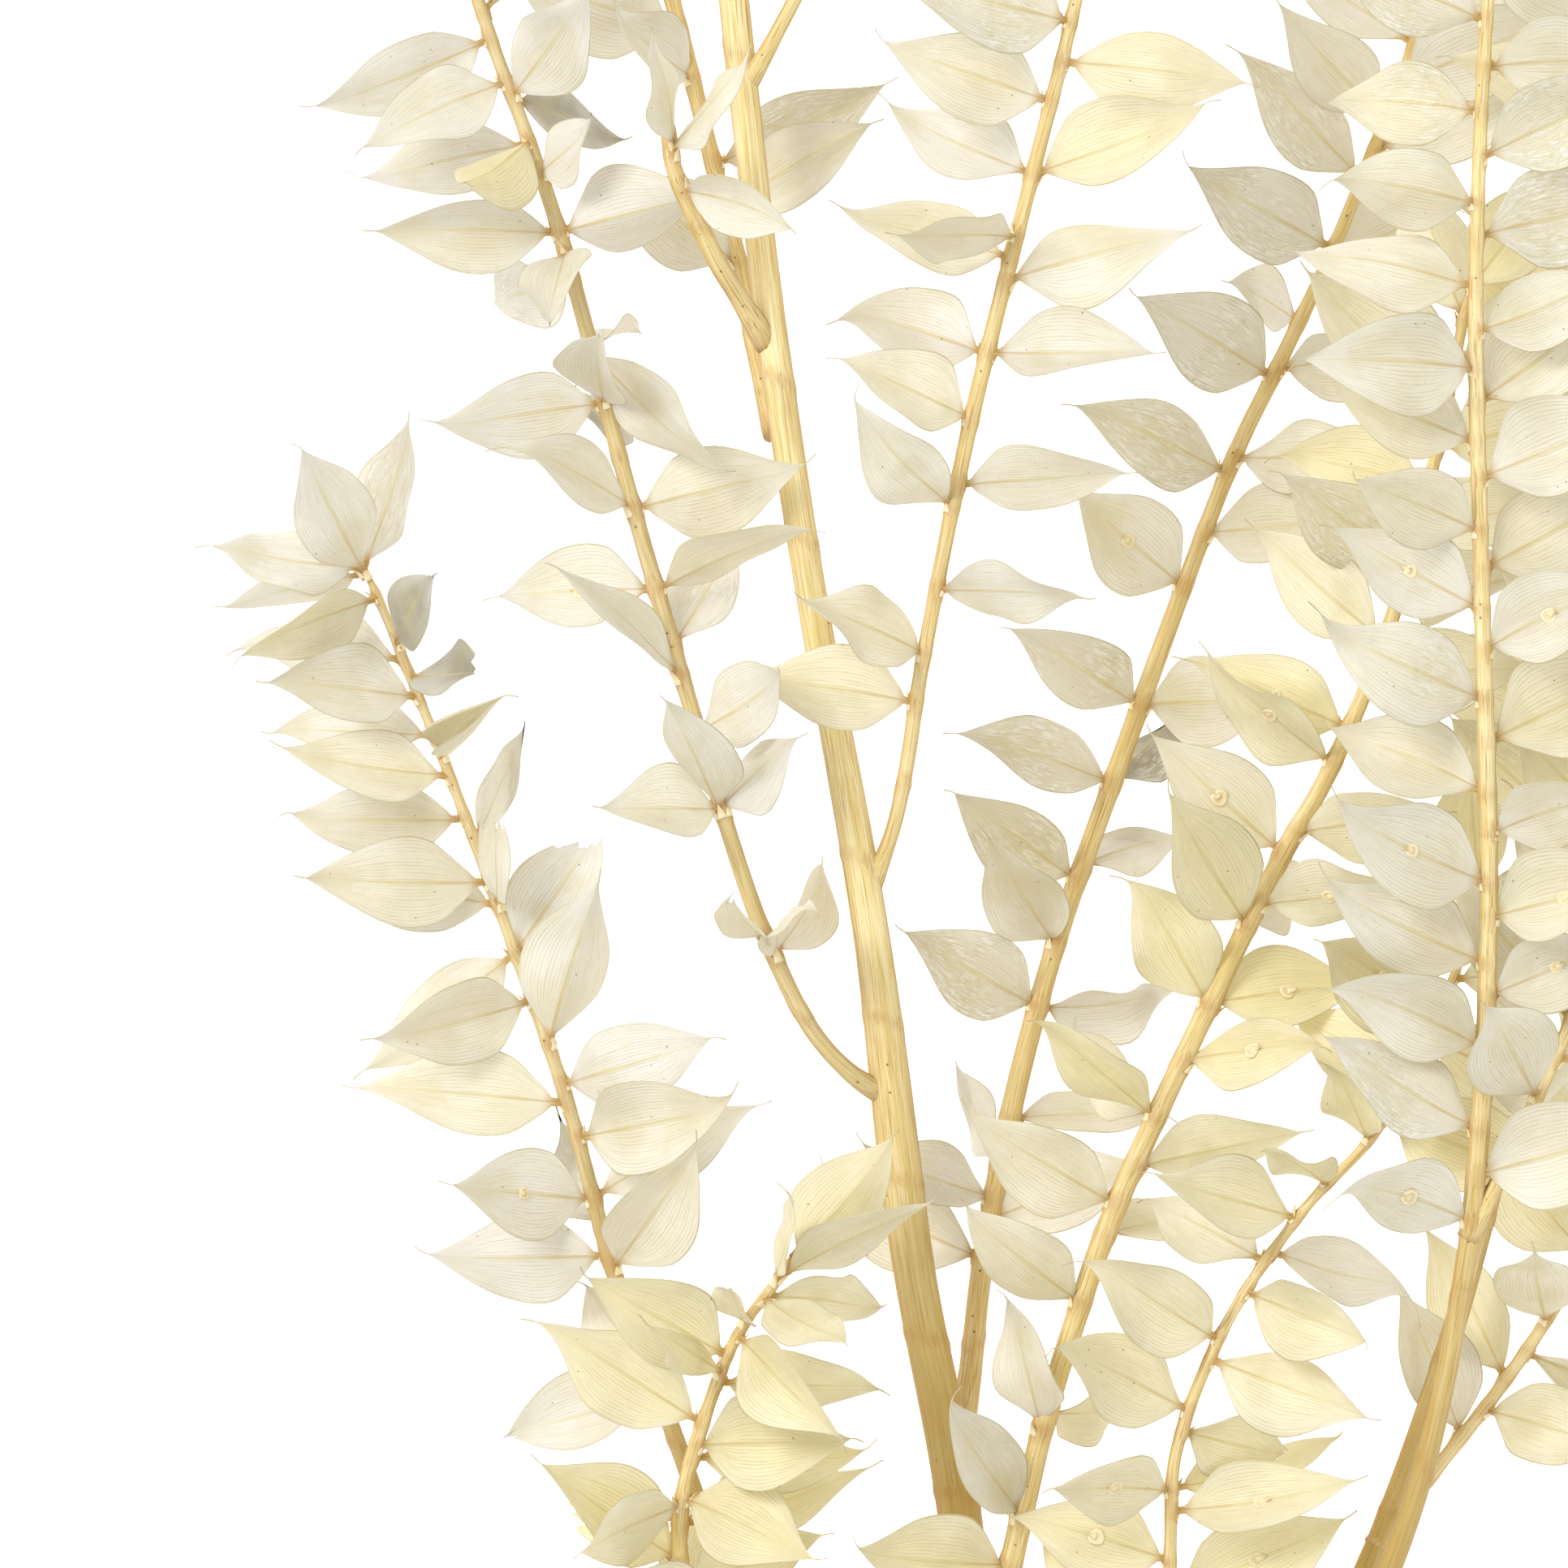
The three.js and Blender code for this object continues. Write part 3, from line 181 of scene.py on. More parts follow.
shoot("left_arch", 502, [2.8, 2.7, 1.2], 28, 4.5, [61, 61], 0.85, 0.0, [
    [-23, -50, 11], [-32, -38, 17], [-39, -23, 25], [-43, -8, 32], [-43.2, 3, 37], [-40.6, 14, 40],
    [-35, 29, 43], [-28, 39, 45], [-25.6, 43, 46]], [
    (-27.5, 38.5, -5.6, 55, 6, 1, "w"), (-28.5, 38.2, -25, 52.9, 2.8, 1, ""),
    (-29.4, 35.6, -10, 33.8, 8, -1, ""), (-29.8, 35, -17.5, 26.6, 7.8, 1, ""),
    (-33.1, 31.9, -36.2, 38.8, 4, 1, "tw"), (-36.2, 27.5, -59.1, 39.4, 13.5, 0, ""),
    (-36.5, 23.5, -48.1, 31.9, 11.2, 2, "r"), (-41.6, 16.5, -66.6, 33.8, 13.2, 1, ""),
    (-32.9, 28.8, -16.6, 14.4, 10.8, 1, ""), (-36.5, 21.9, -10.6, 20.4, 9.2, -1, "s"),
    (-39.6, 12.5, -16.2, 14.4, 14.2, 1, ""), (-40.6, 10.6, -13.8, 10.1, 10.5, -1, ""),
    (-42.1, 4.4, -21.9, -3.1, 13.5, 1, ""), (-43.1, 0, -12.5, 5.2, 9, -2, ""),
    (-44.6, 4.4, -61.9, -2.5, 10.5, 1, ""), (-43.8, 1.2, -65.6, 3.8, 8.2, -1, "t")])
shoot("right_trunk", 83, [5.4, 1.4], 330, 6.8, [66, 66], 0.45, 0.25, [
    [4.5, -204, 6.5], [3.6, -165, 11], [6.4, -137, 13.8], [12, -120, 14.6], [21, -100, 13.8], [42, -50, 13],
    [66, 0, 16], [83, 55, 20], [93, 115, 23], [98, 175, 23], [100, 235, 20], [98, 285, 15]])
shoot("right_over", 162, [2.4, 1.3], 40, 6, [78, 75], 0.75, 0.0, [
    [36, -64, 12.8], [34.5, -46, 20], [32.4, -22, 31], [31.9, 0, 39], [33.1, 14, 43], [40.6, 32.5, 46],
    [51.9, 49, 46], [63, 61, 45], [72, 77, 43], [80, 98, 40]], [
    (30.9, 6.5, 12.2, 9, 10, 0, "s"), (33.4, 18.1, 11.2, 30.6, 12.5, 1, ""),
    (38.1, 30, 17.5, 41.2, 12.2, 1, ""), (50.6, 47.5, 27.1, 55, 10.5, 1, "w"),
    (45.6, 41, 26.9, 51.9, 10.8, -1, "g"), (55, 54, 45.6, 62.8, 6.8, 1, ""),
    (32.5, 2.2, 62.5, 4.4, 10.2, 1, "s"), (33.1, 6.2, 60, 9.4, 7.5, -1, ""),
    (35, 14.4, 51.9, 11.2, 10.2, -1, "t"), (38.1, 25.6, 63.4, 16.9, 12, 1, ""),
    (43.8, 36.9, 65, 28.1, 10.8, 0, ""), (47.5, 41.9, 70.6, 36.2, 8, -1, "o"),
    (61.9, 60.4, 56.2, 73.1, 6.2, 0, "")])
shoot("right_low", 89, [2.4, 1.2], 22, 6.6, [66, 66], 0.5, 0.2, [
    [64, -4, 16], [74, 8, 13], [88, 26, 10], [104, 52, 8], [117, 80, 8], [125, 104, 10]])
shoot("right_high", 97, [2.4, 1.2], 22, 6.6, [66, 66], 0.4, 0.3, [
    [91, 104, 22.5], [98, 120, 20], [109, 144, 15], [121, 176, 10], [129, 204, 8.5]])
shoot("front_trunk", 461, [4.8, 1.4], 268, 6.4, [72, 66], 0.08, 0.0, [
    [-4.5, -198, 8.2], [-3.4, -165, 9.8], [0.8, -137, 12.8], [11, -110, 18.5], [38, -60, 33], [65, -6, 48],
    [76, 40, 56], [79.5, 90, 60], [78.5, 140, 62], [77.5, 190, 62], [80, 240, 58], [85, 285, 51],
    [88, 310, 46]])
shoot("front_side", 103, [2.4, 1.2], 24, 6.6, [66, 66], 0.35, 0.0, [
    [76.5, 45, 56.5], [83, 58, 57], [93, 80, 55], [104, 110, 51], [111, 136, 46]])
print(len(SHOOTS), "shoots in all")

# %% [markdown]
# ## From a few points to a smooth line
# A Catmull-Rom curve passes through every point it is given, which suits a route that was measured. It is
# cut into short steps, and the distance from the root is kept with each step, so that a leaf can be placed
# at so many millimetres along its shoot.

# %% The middle line of a shoot
STEPS_PER_SPAN = 12
UP = np.array([0.0, 0.0, 1.0])


def unit(v):
    return v / np.linalg.norm(v, axis=-1, keepdims=True)


def reach_of(points):
    """How far along a line of points each of them lies."""
    return np.append(0, np.cumsum(np.linalg.norm(np.diff(points, axis=0), axis=1)))


def middle_line(route):
    ends = np.vstack([2 * route[0] - route[1], route, 2 * route[-1] - route[-2]])
    spans = len(route) - 1
    points = []
    for step in range(spans * STEPS_PER_SPAN + 1):
        span = min(step // STEPS_PER_SPAN, spans - 1)
        w = step / STEPS_PER_SPAN - span
        a, b, c, d = ends[span:span + 4]
        out_of, into = (c - a) / 2, (d - b) / 2
        points.append(b + out_of * w + (3 * (c - b) - 2 * out_of - into) * w**2
                      + (2 * (b - c) + out_of + into) * w**3)
    points = np.array(points)
    return points, reach_of(points)


def along_line(line, distance):
    """The point at a distance along a middle line, or at several, and the direction of growth there."""
    points, reach = line
    last = len(points) - 1
    i = np.clip(np.searchsorted(reach, distance), 1, last)
    share = ((distance - reach[i - 1]) / (reach[i] - reach[i - 1]))[..., None]
    point = points[i - 1] + (points[i] - points[i - 1]) * share
    step = np.arange(last + 1)
    slope = unit(points[np.minimum(step + 1, last)] - points[np.maximum(step - 1, 0)])
    return point, unit(slope[i - 1] + (slope[i] - slope[i - 1]) * share)


for s in SHOOTS:
    s.line = middle_line(s.route)
    s.length = s.line[1][-1]
print("shoots together:", round(sum(s.length for s in SHOOTS) * MM, 2), "m")

# %% [markdown]
# ## One leaf
# A ruscus leaf is a pointed oval on a very short stalk. Its outline is x to a power times (1 - x) to
# another, which gives the round base and the long drawn-out point with two numbers. The blade bends along
# its length, sweeps sideways, twists, and is cupped across. A leaf that would dip into the table lies
# pressed on it.

# %% The form of a leaf
LEAF_LENGTH, LEAF_WIDTH = 28.5, 13.6
STALK_SHARE, STALK_WIDTH = 0.07, 1.1
RISE, FALL = 0.72, 1.15
WIDEST = RISE / (RISE + FALL)
WIDEST_VALUE = WIDEST**RISE * (1 - WIDEST) ** FALL


def half_outline(share):
    x = np.maximum(0, (share - STALK_SHARE) / (1 - STALK_SHARE))
    return x**RISE * (1 - x) ** FALL / WIDEST_VALUE


def column(values):
    return np.asarray(values, float)[..., None]


def turned_axes(leaf, along):
    """The leaf's normal and its sideways direction at shares of its length."""
    u = column(along)
    normal = unit(leaf.face - leaf.out * leaf.bend * u)
    flank = unit(leaf.side - leaf.out * leaf.sweep * u)
    turn = leaf.twist * u
    return normal * np.cos(turn) - flank * np.sin(turn), flank * np.cos(turn) + normal * np.sin(turn)


def spine(leaf, along):
    """The line from the root of the leaf to its tip."""
    u = column(along)
    length = leaf.length
    return (leaf.root + leaf.out * length * u + leaf.face * leaf.bend * length * u**2 / 2
            + leaf.side * leaf.sweep * length * u**2 / 2)


def blade_points(leaf, along, across):
    half = np.maximum(half_outline(along) * leaf.half_width, STALK_WIDTH / 2 * (1 - along))
    normal, flank = turned_axes(leaf, along)
    point = (spine(leaf, along) + flank * column(across * half)
             + normal * column(leaf.cup * half * across**2))
    dip = np.maximum(0, -point[..., 2])
    point[..., 2] = np.maximum(point[..., 2], 0)
    return point, dip


print("a leaf is widest at", round(WIDEST, 2), "of its length")

# %% [markdown]
# ## How leaves sit on a shoot
# Leaves stand to the left and to the right by turns, two in front and two behind, and each differs a little
# from the next. The draws come from a simple counting rule with a seed for each shoot, so that every run
# grows the same bunch as the solids have. A leaf that has no room is lifted or swung until it has, and left
# out if that doesn't help: leaves of a real bunch push each other aside in the same way.

# %% A leaf's place on its shoot
LIFT, LIFT_PLAY, LEAN_PLAY, ROLL_PLAY = 20, 13, 12, 26
BEND_PLAY, SWEEP_PLAY, TWIST_PLAY, CUP_PLAY = 0.5, 0.3, 0.5, 0.32
SIZE_PLAY, WIDTH_PLAY, GAP_PLAY = 0.12, 0.1, 0.22
TIP_STRETCH, TIP_LEAN, TIP_SIZE, TIP_GAP = 18, 20, 0.86, 0.62
HABITS = ["lean", "lift", "roll", "size", "width", "bend", "sweep", "twist", "cup", "gap"]
COUNT_BY, COUNT_TO = 48271, 2147483647


def draws_from(seed):
    """The habits of one leaf after another, each between -1 and 1."""
    state = seed * 7919 + 104729
    while True:
        draws = {}
        for habit in HABITS:
            state = state * COUNT_BY % COUNT_TO
            draws[habit] = 2 * state / COUNT_TO - 1
        yield draws


def between(low, high, share):
    return low + (high - low) * share


def smooth(x, low, high):
    x = np.clip((x - low) / (high - low), 0, 1)
    return x * x * (3 - 2 * x)


def to_tip(s, distance):
    return smooth(distance, s.length - TIP_STRETCH, s.length)


def thick_at(s, share):
    return np.interp(share, np.linspace(0, 1, len(s.thick)), s.thick)


def leaf_on(s, distance, out, roll, length, width, draws, calm=1.0, look=None):
    """A leaf at a distance along a shoot that points along out."""
    root, forward = along_line(s.line, distance)
    flat_face = unit(UP - out * UP.dot(out))
    face = flat_face * math.cos(roll) + np.cross(out, flat_face) * math.sin(roll)
    return SimpleNamespace(
        shoot=s, distance=distance, root=root, forward=forward, out=out, face=face,
        side=np.cross(out, face), length=length, half_width=width / 2, look=look,
        bend=BEND_PLAY * calm * draws["bend"], sweep=SWEEP_PLAY * calm * draws["sweep"],
        twist=TWIST_PLAY * draws["twist"], cup=CUP_PLAY * draws["cup"],
    )


def usual_leaf(s, distance, index, draws, more_lean, more_lift):
    """A leaf by the habit of the plant: left and right by turns, two in front and two behind."""
    forward = along_line(s.line, distance)[1]
    right = unit(np.cross(forward, UP))
    upward = np.cross(right, forward)
    hand = -1 if index % 2 == 0 else 1
    layer = 1 if index % 4 < 2 else -1
    base_lean = between(s.lean[0 if hand < 0 else 1], TIP_LEAN, to_tip(s, distance))
    lean = math.radians(base_lean + LEAN_PLAY * draws["lean"] + more_lean)
    lift = math.radians(layer * LIFT + LIFT_PLAY * draws["lift"] + more_lift)
    sideways = right * hand * math.cos(lift) + upward * math.sin(lift)
    out = unit(forward * math.cos(lean) + sideways * math.sin(lean))
    size = between(1, TIP_SIZE, to_tip(s, distance)) * (1 + SIZE_PLAY * draws["size"])
    width = LEAF_WIDTH * size * (1 + WIDTH_PLAY * draws["width"])
    roll = math.radians(ROLL_PLAY * draws["roll"])
    return leaf_on(s, distance, out, roll, LEAF_LENGTH * size, width, draws)


print("draws of the first shoot:", {k: round(v, 2) for k, v in next(draws_from(SHOOTS[0].seed)).items()})

# %% A leaf that the photograph shows
LAYER_SLOPE, HIDDEN_LENGTH, HIDDEN_WIDTH = 9, 0.35, 0.45
LONGEST_LEAF, SEEN_CALM = 36, 0.6


def distance_near(s, x, y):
    """The distance along a shoot at which it passes nearest to a place in plan."""
    points, reach = s.line
    return reach[np.argmin(np.hypot(points[:, 0] - x, points[:, 1] - y))]


def seen_leaf(s, mark, draws, more_lift):
    """A leaf at its measured place. more_lift tips it up or down under the same outline."""
    root_x, root_y, tip_x, tip_y, wide, layer, look = mark
    distance = distance_near(s, root_x, root_y)
    root = along_line(s.line, distance)[0]
    reach = math.hypot(tip_x - root[0], tip_y - root[1])
    whole = max(reach, between(reach, LEAF_LENGTH, HIDDEN_LENGTH))
    slope = math.acos(reach / whole) * (np.sign(layer) or 1)
    slope += math.radians(layer * LAYER_SLOPE + more_lift)
    if reach / math.cos(slope) > LONGEST_LEAF:
        return None
    towards = np.array([tip_x - root[0], tip_y - root[1], reach * math.tan(slope)])
    width = max(wide, between(wide, LEAF_WIDTH, HIDDEN_WIDTH))
    roll = math.acos(wide / width) * (np.sign(draws["roll"]) or 1)
    length = np.linalg.norm(towards)
    return leaf_on(s, distance, unit(towards), roll, length, width, draws, SEEN_CALM, look)


print("leaves measured in the photograph:", sum(len(s.seen) for s in SHOOTS))

# %% Leaves that keep clear of each other
LEAF_CLEAR, CROWDED_CLEAR, OTHER_STEM_CLEAR, WOOD_CLEAR, DEEPEST_DIP = 2.2, 0.9, 3.2, 1.5, 9
MIDDLE_SHARE, NEAR_SHARE = 0.6, 0.75
TRIES = [(lean, lift) for lean in (0, -13, 13) for lift in (0, 13, -13, 26, -26, 39, -39)]
SEEN_TRIES = [(clear, lift) for clear in (LEAF_CLEAR, CROWDED_CLEAR)
              for lift in (0, 7, -7, 14, -14, 21, -21, 28, -28, 36, -36)]
FEELER_ALONG, FEELER_ACROSS = np.meshgrid(
    [0.3, 0.39, 0.48, 0.57, 0.66, 0.75, 0.84, 0.92, 1], [-1, -0.5, 0, 0.5, 1], indexing="ij")
wood_points = np.vstack([s.line[0] for s in SHOOTS])
wood_radii = np.concatenate([thick_at(s, s.line[1] / s.length) / 2 for s in SHOOTS])


def nearest(points, others):
    """Each of the others' distance from the nearest of the points."""
    return np.sqrt(((points[:, None] - others[None]) ** 2).sum(-1).min(0))


def has_room(leaf, own_clear):
    points, dip = blade_points(leaf, FEELER_ALONG.ravel(), FEELER_ACROSS.ravel())
    leaf.middle = blade_points(leaf, MIDDLE_SHARE, 0)[0]
    leaf.feelers = points
    if dip.max() > DEEPEST_DIP:
        return False
    near = np.linalg.norm(wood_points - leaf.middle, axis=1) < leaf.length
    if near.any() and (nearest(points, wood_points[near]) < wood_radii[near] + WOOD_CLEAR).any():
        return False
    for other in leaves:
        apart = np.linalg.norm(other.middle - leaf.middle)
        if apart > NEAR_SHARE * (leaf.length + other.length):
            continue
        clear = own_clear if other.shoot.stem == leaf.shoot.stem else OTHER_STEM_CLEAR
        if nearest(points, other.feelers).min() <= clear:
            return False
    return True


def add_first_with_room(tries):
    for leaf, own_clear in tries:
        if leaf and has_room(leaf, own_clear):
            leaves.append(leaf)
            return


leaves = []
for s in SHOOTS:
    for mark, draws in zip(s.seen, draws_from(s.seed)):
        add_first_with_room((seen_leaf(s, mark, draws, lift), clear) for clear, lift in SEEN_TRIES)
seen_leaves = len(leaves)
for s in SHOOTS:
    seen = [distance_near(s, *mark[:2]) for mark in s.seen] or [math.inf]
    distance, index, habits = s.bare, 0, draws_from(s.seed)
    while distance < s.length:
        draws = next(habits)
        if not min(seen) - s.gap / 2 <= distance <= max(seen) + s.gap / 2:
            tries = ((usual_leaf(s, distance, index, draws, *more), LEAF_CLEAR) for more in TRIES)
            add_first_with_room(tries)
        distance += s.gap * between(1, TIP_GAP, to_tip(s, distance)) * (1 + GAP_PLAY * draws["gap"])
        index += 1
print(seen_leaves, "leaves as measured and", len(leaves) - seen_leaves, "by the plant's habit")

# %% [markdown]
# ## Where the bunch lies
# The routes start from the point where the middle stem leaves the picture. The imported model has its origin
# under the middle of the bunch instead, so everything moves over by the difference. It is found by setting
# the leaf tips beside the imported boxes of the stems.

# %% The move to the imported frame
tips = {}
for leaf in leaves:
    tips.setdefault(leaf.shoot.stem, []).append(blade_points(leaf, 1, 0)[0])
moves = []
for stem, points in tips.items():
    low, high = (np.array(corner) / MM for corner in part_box(stem))
    least, most = np.min(points, 0), np.max(points, 0)
    moves.append([low[0] - least[0], high[0] - most[0], high[1] - most[1]])
moves = np.array(moves)
MOVE = np.array([np.median(moves[:, :2]), np.median(moves[:, 2]), 0])
print("everything moves by", MOVE.round(3), "mm")


def to_frame(points):
    """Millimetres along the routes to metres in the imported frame."""
    return (np.asarray(points) + MOVE) * MM


# %% [markdown]
# ## Meshes from arrays
# Some four hundred leaves are too many to make one by one with operators. Their points and faces are
# worked out as arrays instead, and each shoot's leaves go into one mesh at once. What a material wants to
# know about a point, such as how far along the leaf it lies, goes with the mesh as a named attribute.
# Two forms come again and again: a thin sheet, closed at its rim, and a tube, closed at both ends.

# %% A mesh that is filled from arrays
FLOOR_CLEAR = 0.02


class Heap:
    """Collects points, four-sided and three-sided faces, and attributes for one mesh."""

    def __init__(self):
        self.points, self.faces, self.count, self.attributes = [], [], 0, {}

    def add(self, points, faces, **attributes):
        self.points.append(points)
        self.faces += [f + self.count for f in faces]
        self.count += len(points)
        for name, values in attributes.items():
            values = np.asarray(values, float)
            if values.ndim == 0:
                values = np.full(len(points), values)
            self.attributes.setdefault(name, []).append(values)

    def piece(self, name, node, material):
        mesh = bpy.data.meshes.new(name)
        points = to_frame(np.vstack(self.points))
        loops = np.concatenate([f.ravel() for f in self.faces])
        totals = np.concatenate([np.full(len(f), f.shape[1]) for f in self.faces])
        mesh.vertices.add(len(points))
        mesh.vertices.foreach_set("co", points.ravel())
        mesh.loops.add(len(loops))
        mesh.loops.foreach_set("vertex_index", loops)
        mesh.polygons.add(len(totals))
        mesh.polygons.foreach_set("loop_start", np.append(0, np.cumsum(totals)[:-1]))
        mesh.polygons.foreach_set("loop_total", totals)
        for key, parts in self.attributes.items():
            values = np.concatenate(parts)
            kind, field = ("FLOAT", "value") if values.ndim == 1 else ("FLOAT_VECTOR", "vector")
            mesh.attributes.new(key, kind, "POINT").data.foreach_set(field, values.ravel())
        mesh.update(calc_edges=True)
        mesh.shade_smooth()
        mesh.materials.append(material)
        thing = bpy.data.objects.new(name, mesh)
        bpy.context.collection.objects.link(thing)
        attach(thing, "root")
        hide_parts(node)
        print(name, "has", len(totals), "faces")


def grid_faces(rows, columns, start=0, flip=False):
    """The four-sided faces of a grid of (rows + 1) x (columns + 1) points."""
    i, j = np.meshgrid(np.arange(rows), np.arange(columns), indexing="ij")
    a = (start + i * (columns + 1) + j).ravel()
    faces = np.stack([a, a + columns + 1, a + columns + 2, a + 1], 1)
    return faces[:, ::-1] if flip else faces


def sheet_faces(rows, columns, flip=False):
    """The faces that close two equal grids of points, one after the other, into a thin sheet."""
    size = (rows + 1) * (columns + 1)
    index = np.arange(size).reshape(rows + 1, columns + 1)
    faces = [grid_faces(rows, columns, 0, flip), grid_faces(rows, columns, size, not flip)]
    for line, turned in ((index[:, 0], False), (index[:, -1], True), (index[0], True), (index[-1], False)):
        rim = np.stack([line[:-1], line[:-1] + size, line[1:] + size, line[1:]], 1)
        faces.append(rim[:, ::-1] if turned != flip else rim)
    return faces


def tube_faces(rings, sides):
    """The faces of a tube of rings of points, closed by two more points in the middle of its ends."""
    last = rings * sides
    j = np.arange(sides)
    a = np.arange(0, last - sides, sides)[:, None] + j
    b = np.arange(0, last - sides, sides)[:, None] + (j + 1) % sides
    faces = [np.stack([a, b, b + sides, a + sides], -1).reshape(-1, 4)]
    for first, centre, order in ((0, last, -1), (last - sides, last + 1, 1)):
        fan = np.stack([first + j, first + (j + 1) % sides, np.full(sides, centre)], 1)
        faces.append(fan[:, ::order])
    return faces


def circle(sides):
    return np.linspace(0, 2 * np.pi, sides, endpoint=False)


def xyz(*parts):
    """Points from their three coordinates."""
    return np.stack(np.broadcast_arrays(*parts), -1).reshape(-1, 3)


def off_floor(points):
    points[..., 2] = np.maximum(points[..., 2], FLOOR_CLEAR)
    return points


def bell(x):
    return np.exp(-(x**2))


print("a tube of 3 rings of 4 points has", sum(len(f) for f in tube_faces(3, 4)), "faces")

# %% [markdown]
# ## Small tools for materials
# Every finish here is a tree of nodes, and a few short words keep the trees readable. The one used most
# lays colours over each other, each as strongly as a mask says. A colour as read from a picture is turned
# into the linear one that nodes want.

# %% Helpers for node trees
def colour(code):
    parts = [int(code[k:k + 2], 16) / 255 for k in (1, 3, 5)]
    linear = [p / 12.92 if p <= 0.04045 else ((p + 0.055) / 1.055) ** 2.4 for p in parts]
    return (*linear, 1)


class Tree:
    """A node tree, and short words for the nodes that it takes most often."""

    def __init__(self, tree):
        self.tree = tree

    def fill(self, node, values):
        """Sets a node's inputs, or links them where the value comes from another node."""
        for key, value in values.items():
            if isinstance(value, bpy.types.NodeSocket):
                self.tree.links.new(value, node.inputs[key])
            else:
                node.inputs[key].default_value = value
        return node

    def put(self, kind, values, **settings):
        node = self.tree.nodes.new("ShaderNode" + kind)
        for key, value in settings.items():
            setattr(node, key, value)
        return self.fill(node, values)

    def read(self, name, output="Fac"):
        return self.put("Attribute", {}, attribute_name=name).outputs[output]

    def maths(self, operation, *values):
        return self.put("Math", dict(enumerate(values)), operation=operation).outputs[0]

    def times(self, a, b):
        return self.maths("MULTIPLY", a, b)

    def times_plus(self, a, b, c):
        return self.maths("MULTIPLY_ADD", a, b, c)

    def ramp(self, value, low, high, to_low=0.0, to_high=1.0):
        """A value between low and high, spread smoothly over to_low and to_high."""
        values = {0: value, 1: low, 2: high, 3: to_low, 4: to_high}
        return self.put("MapRange", values, interpolation_type="SMOOTHSTEP").outputs[0]

    def noise(self, vector, scale, detail, rough=0.5):
        values = {"Vector": vector, "Scale": scale, "Detail": detail, "Roughness": rough}
        return self.put("TexNoise", values).outputs[0]

    def blend(self, share, a, b):
        """Colours a and b mixed by a share."""
        return self.put("Mix", {0: share, 6: a, 7: b}, data_type="RGBA").outputs[2]

    def layers(self, tone, steps):
        """A colour with others laid over it, by mask, strength and colour."""
        for mask, strength, over in steps:
            share = mask if strength == 1 else self.times(mask, strength)
            tone = self.blend(share, tone, colour(over) if isinstance(over, str) else over)
        return tone

    def bump(self, height, strength, distance):
        values = {"Height": height, "Strength": strength, "Distance": distance}
        return self.put("Bump", values).outputs[0]

    def mix(self, share, a, b):
        """Two shaders mixed by a share."""
        return self.put("MixShader", {0: share, 1: a.outputs[0], 2: b.outputs[0]})

    def show(self, shader):
        self.put("OutputMaterial", {0: shader.outputs[0]})
        print("a material of", len(self.tree.nodes), "nodes")


def group(name, inputs, outputs):
    """A shader node group, as its tree, inputs and output node. Place is a vector, the rest are numbers."""
    tree = bpy.data.node_groups.new(name, "ShaderNodeTree")
    for way, keys in (("INPUT", inputs), ("OUTPUT", outputs)):
        for key in keys:
            kind = "NodeSocketVector" if key == "Place" else "NodeSocketFloat"
            tree.interface.new_socket(key, in_out=way, socket_type=kind)
    return Tree(tree), tree.nodes.new("NodeGroupInput").outputs, tree.nodes.new("NodeGroupOutput")


def new_material(name):
    material = bpy.data.materials.new(name)
    material.use_nodes = True
    material.node_tree.nodes.clear()
    return material, Tree(material.node_tree)


print("helpers ready")

# %% [markdown]
# ## Veins
# The veins of a ruscus leaf run side by side from its base to its tip and follow its outline. A wave over
# the position across the leaf, wavered by noise, draws them. The midrib is a narrow line in the middle,
# wider at the base, and a darker line runs along the margin. Streaks are noise drawn out along the veins,
# for loose skin. The group gives each as a mask, for colour and for relief.

# %% The node group for veins
VEINS_ACROSS, VEIN_DEPTH, WAVER = 26, 0.2, 0.06
veins, given, made = group("veins", ["Along", "Across", "Place"], ["Veins", "Midrib", "Margin", "Streaks"])
along, across = given["Along"], given["Across"]
waver = veins.noise(given["Place"], 0.2, 2.0)
wavered = veins.times_plus(waver, WAVER, across)
wave = veins.maths("SINE", veins.times(wavered, VEINS_ACROSS * math.pi))


def drawn_out(by, detail, rough):
    """Noise stretched along the veins. by says how fast it changes along, across and with the waver."""
    parts = {k: veins.times(part, by[k]) for k, part in enumerate((along, wavered, waver))}
    return veins.noise(veins.put("CombineXYZ", parts).outputs[0], 1.0, detail, rough)


fine = drawn_out((4.0, 36.0, 3.0), 2.0, 0.5)
apart = veins.maths("ABSOLUTE", across)
narrowed = veins.times(apart, veins.ramp(along, 0.1, 0.4, 0.6, 1.0))
rib = veins.ramp(narrowed, 0.01, 0.07, 1.0, 0.0)
veins.fill(made, {
    "Veins": veins.ramp(veins.times_plus(wave, VEIN_DEPTH, fine), 0.5, 0.82),
    "Midrib": veins.times(rib, veins.ramp(along, 0.5, 0.95, 1.0, 0.3)),
    "Margin": veins.ramp(apart, 0.94, 0.99),
    "Streaks": drawn_out((11.0, 18.0, 5.0), 4.0, 0.65),
})
print("veins group has", len(veins.tree.nodes), "nodes")

# %% [markdown]
# ## Age: clouds and specks
# Bleaching leaves clouds of a greyer or yellower tone and a few dark specks. The specks are the middles of
# some of the cells of a cell pattern, and the rarity says how few. The same group serves leaves, wood and
# twine, each with its own values.

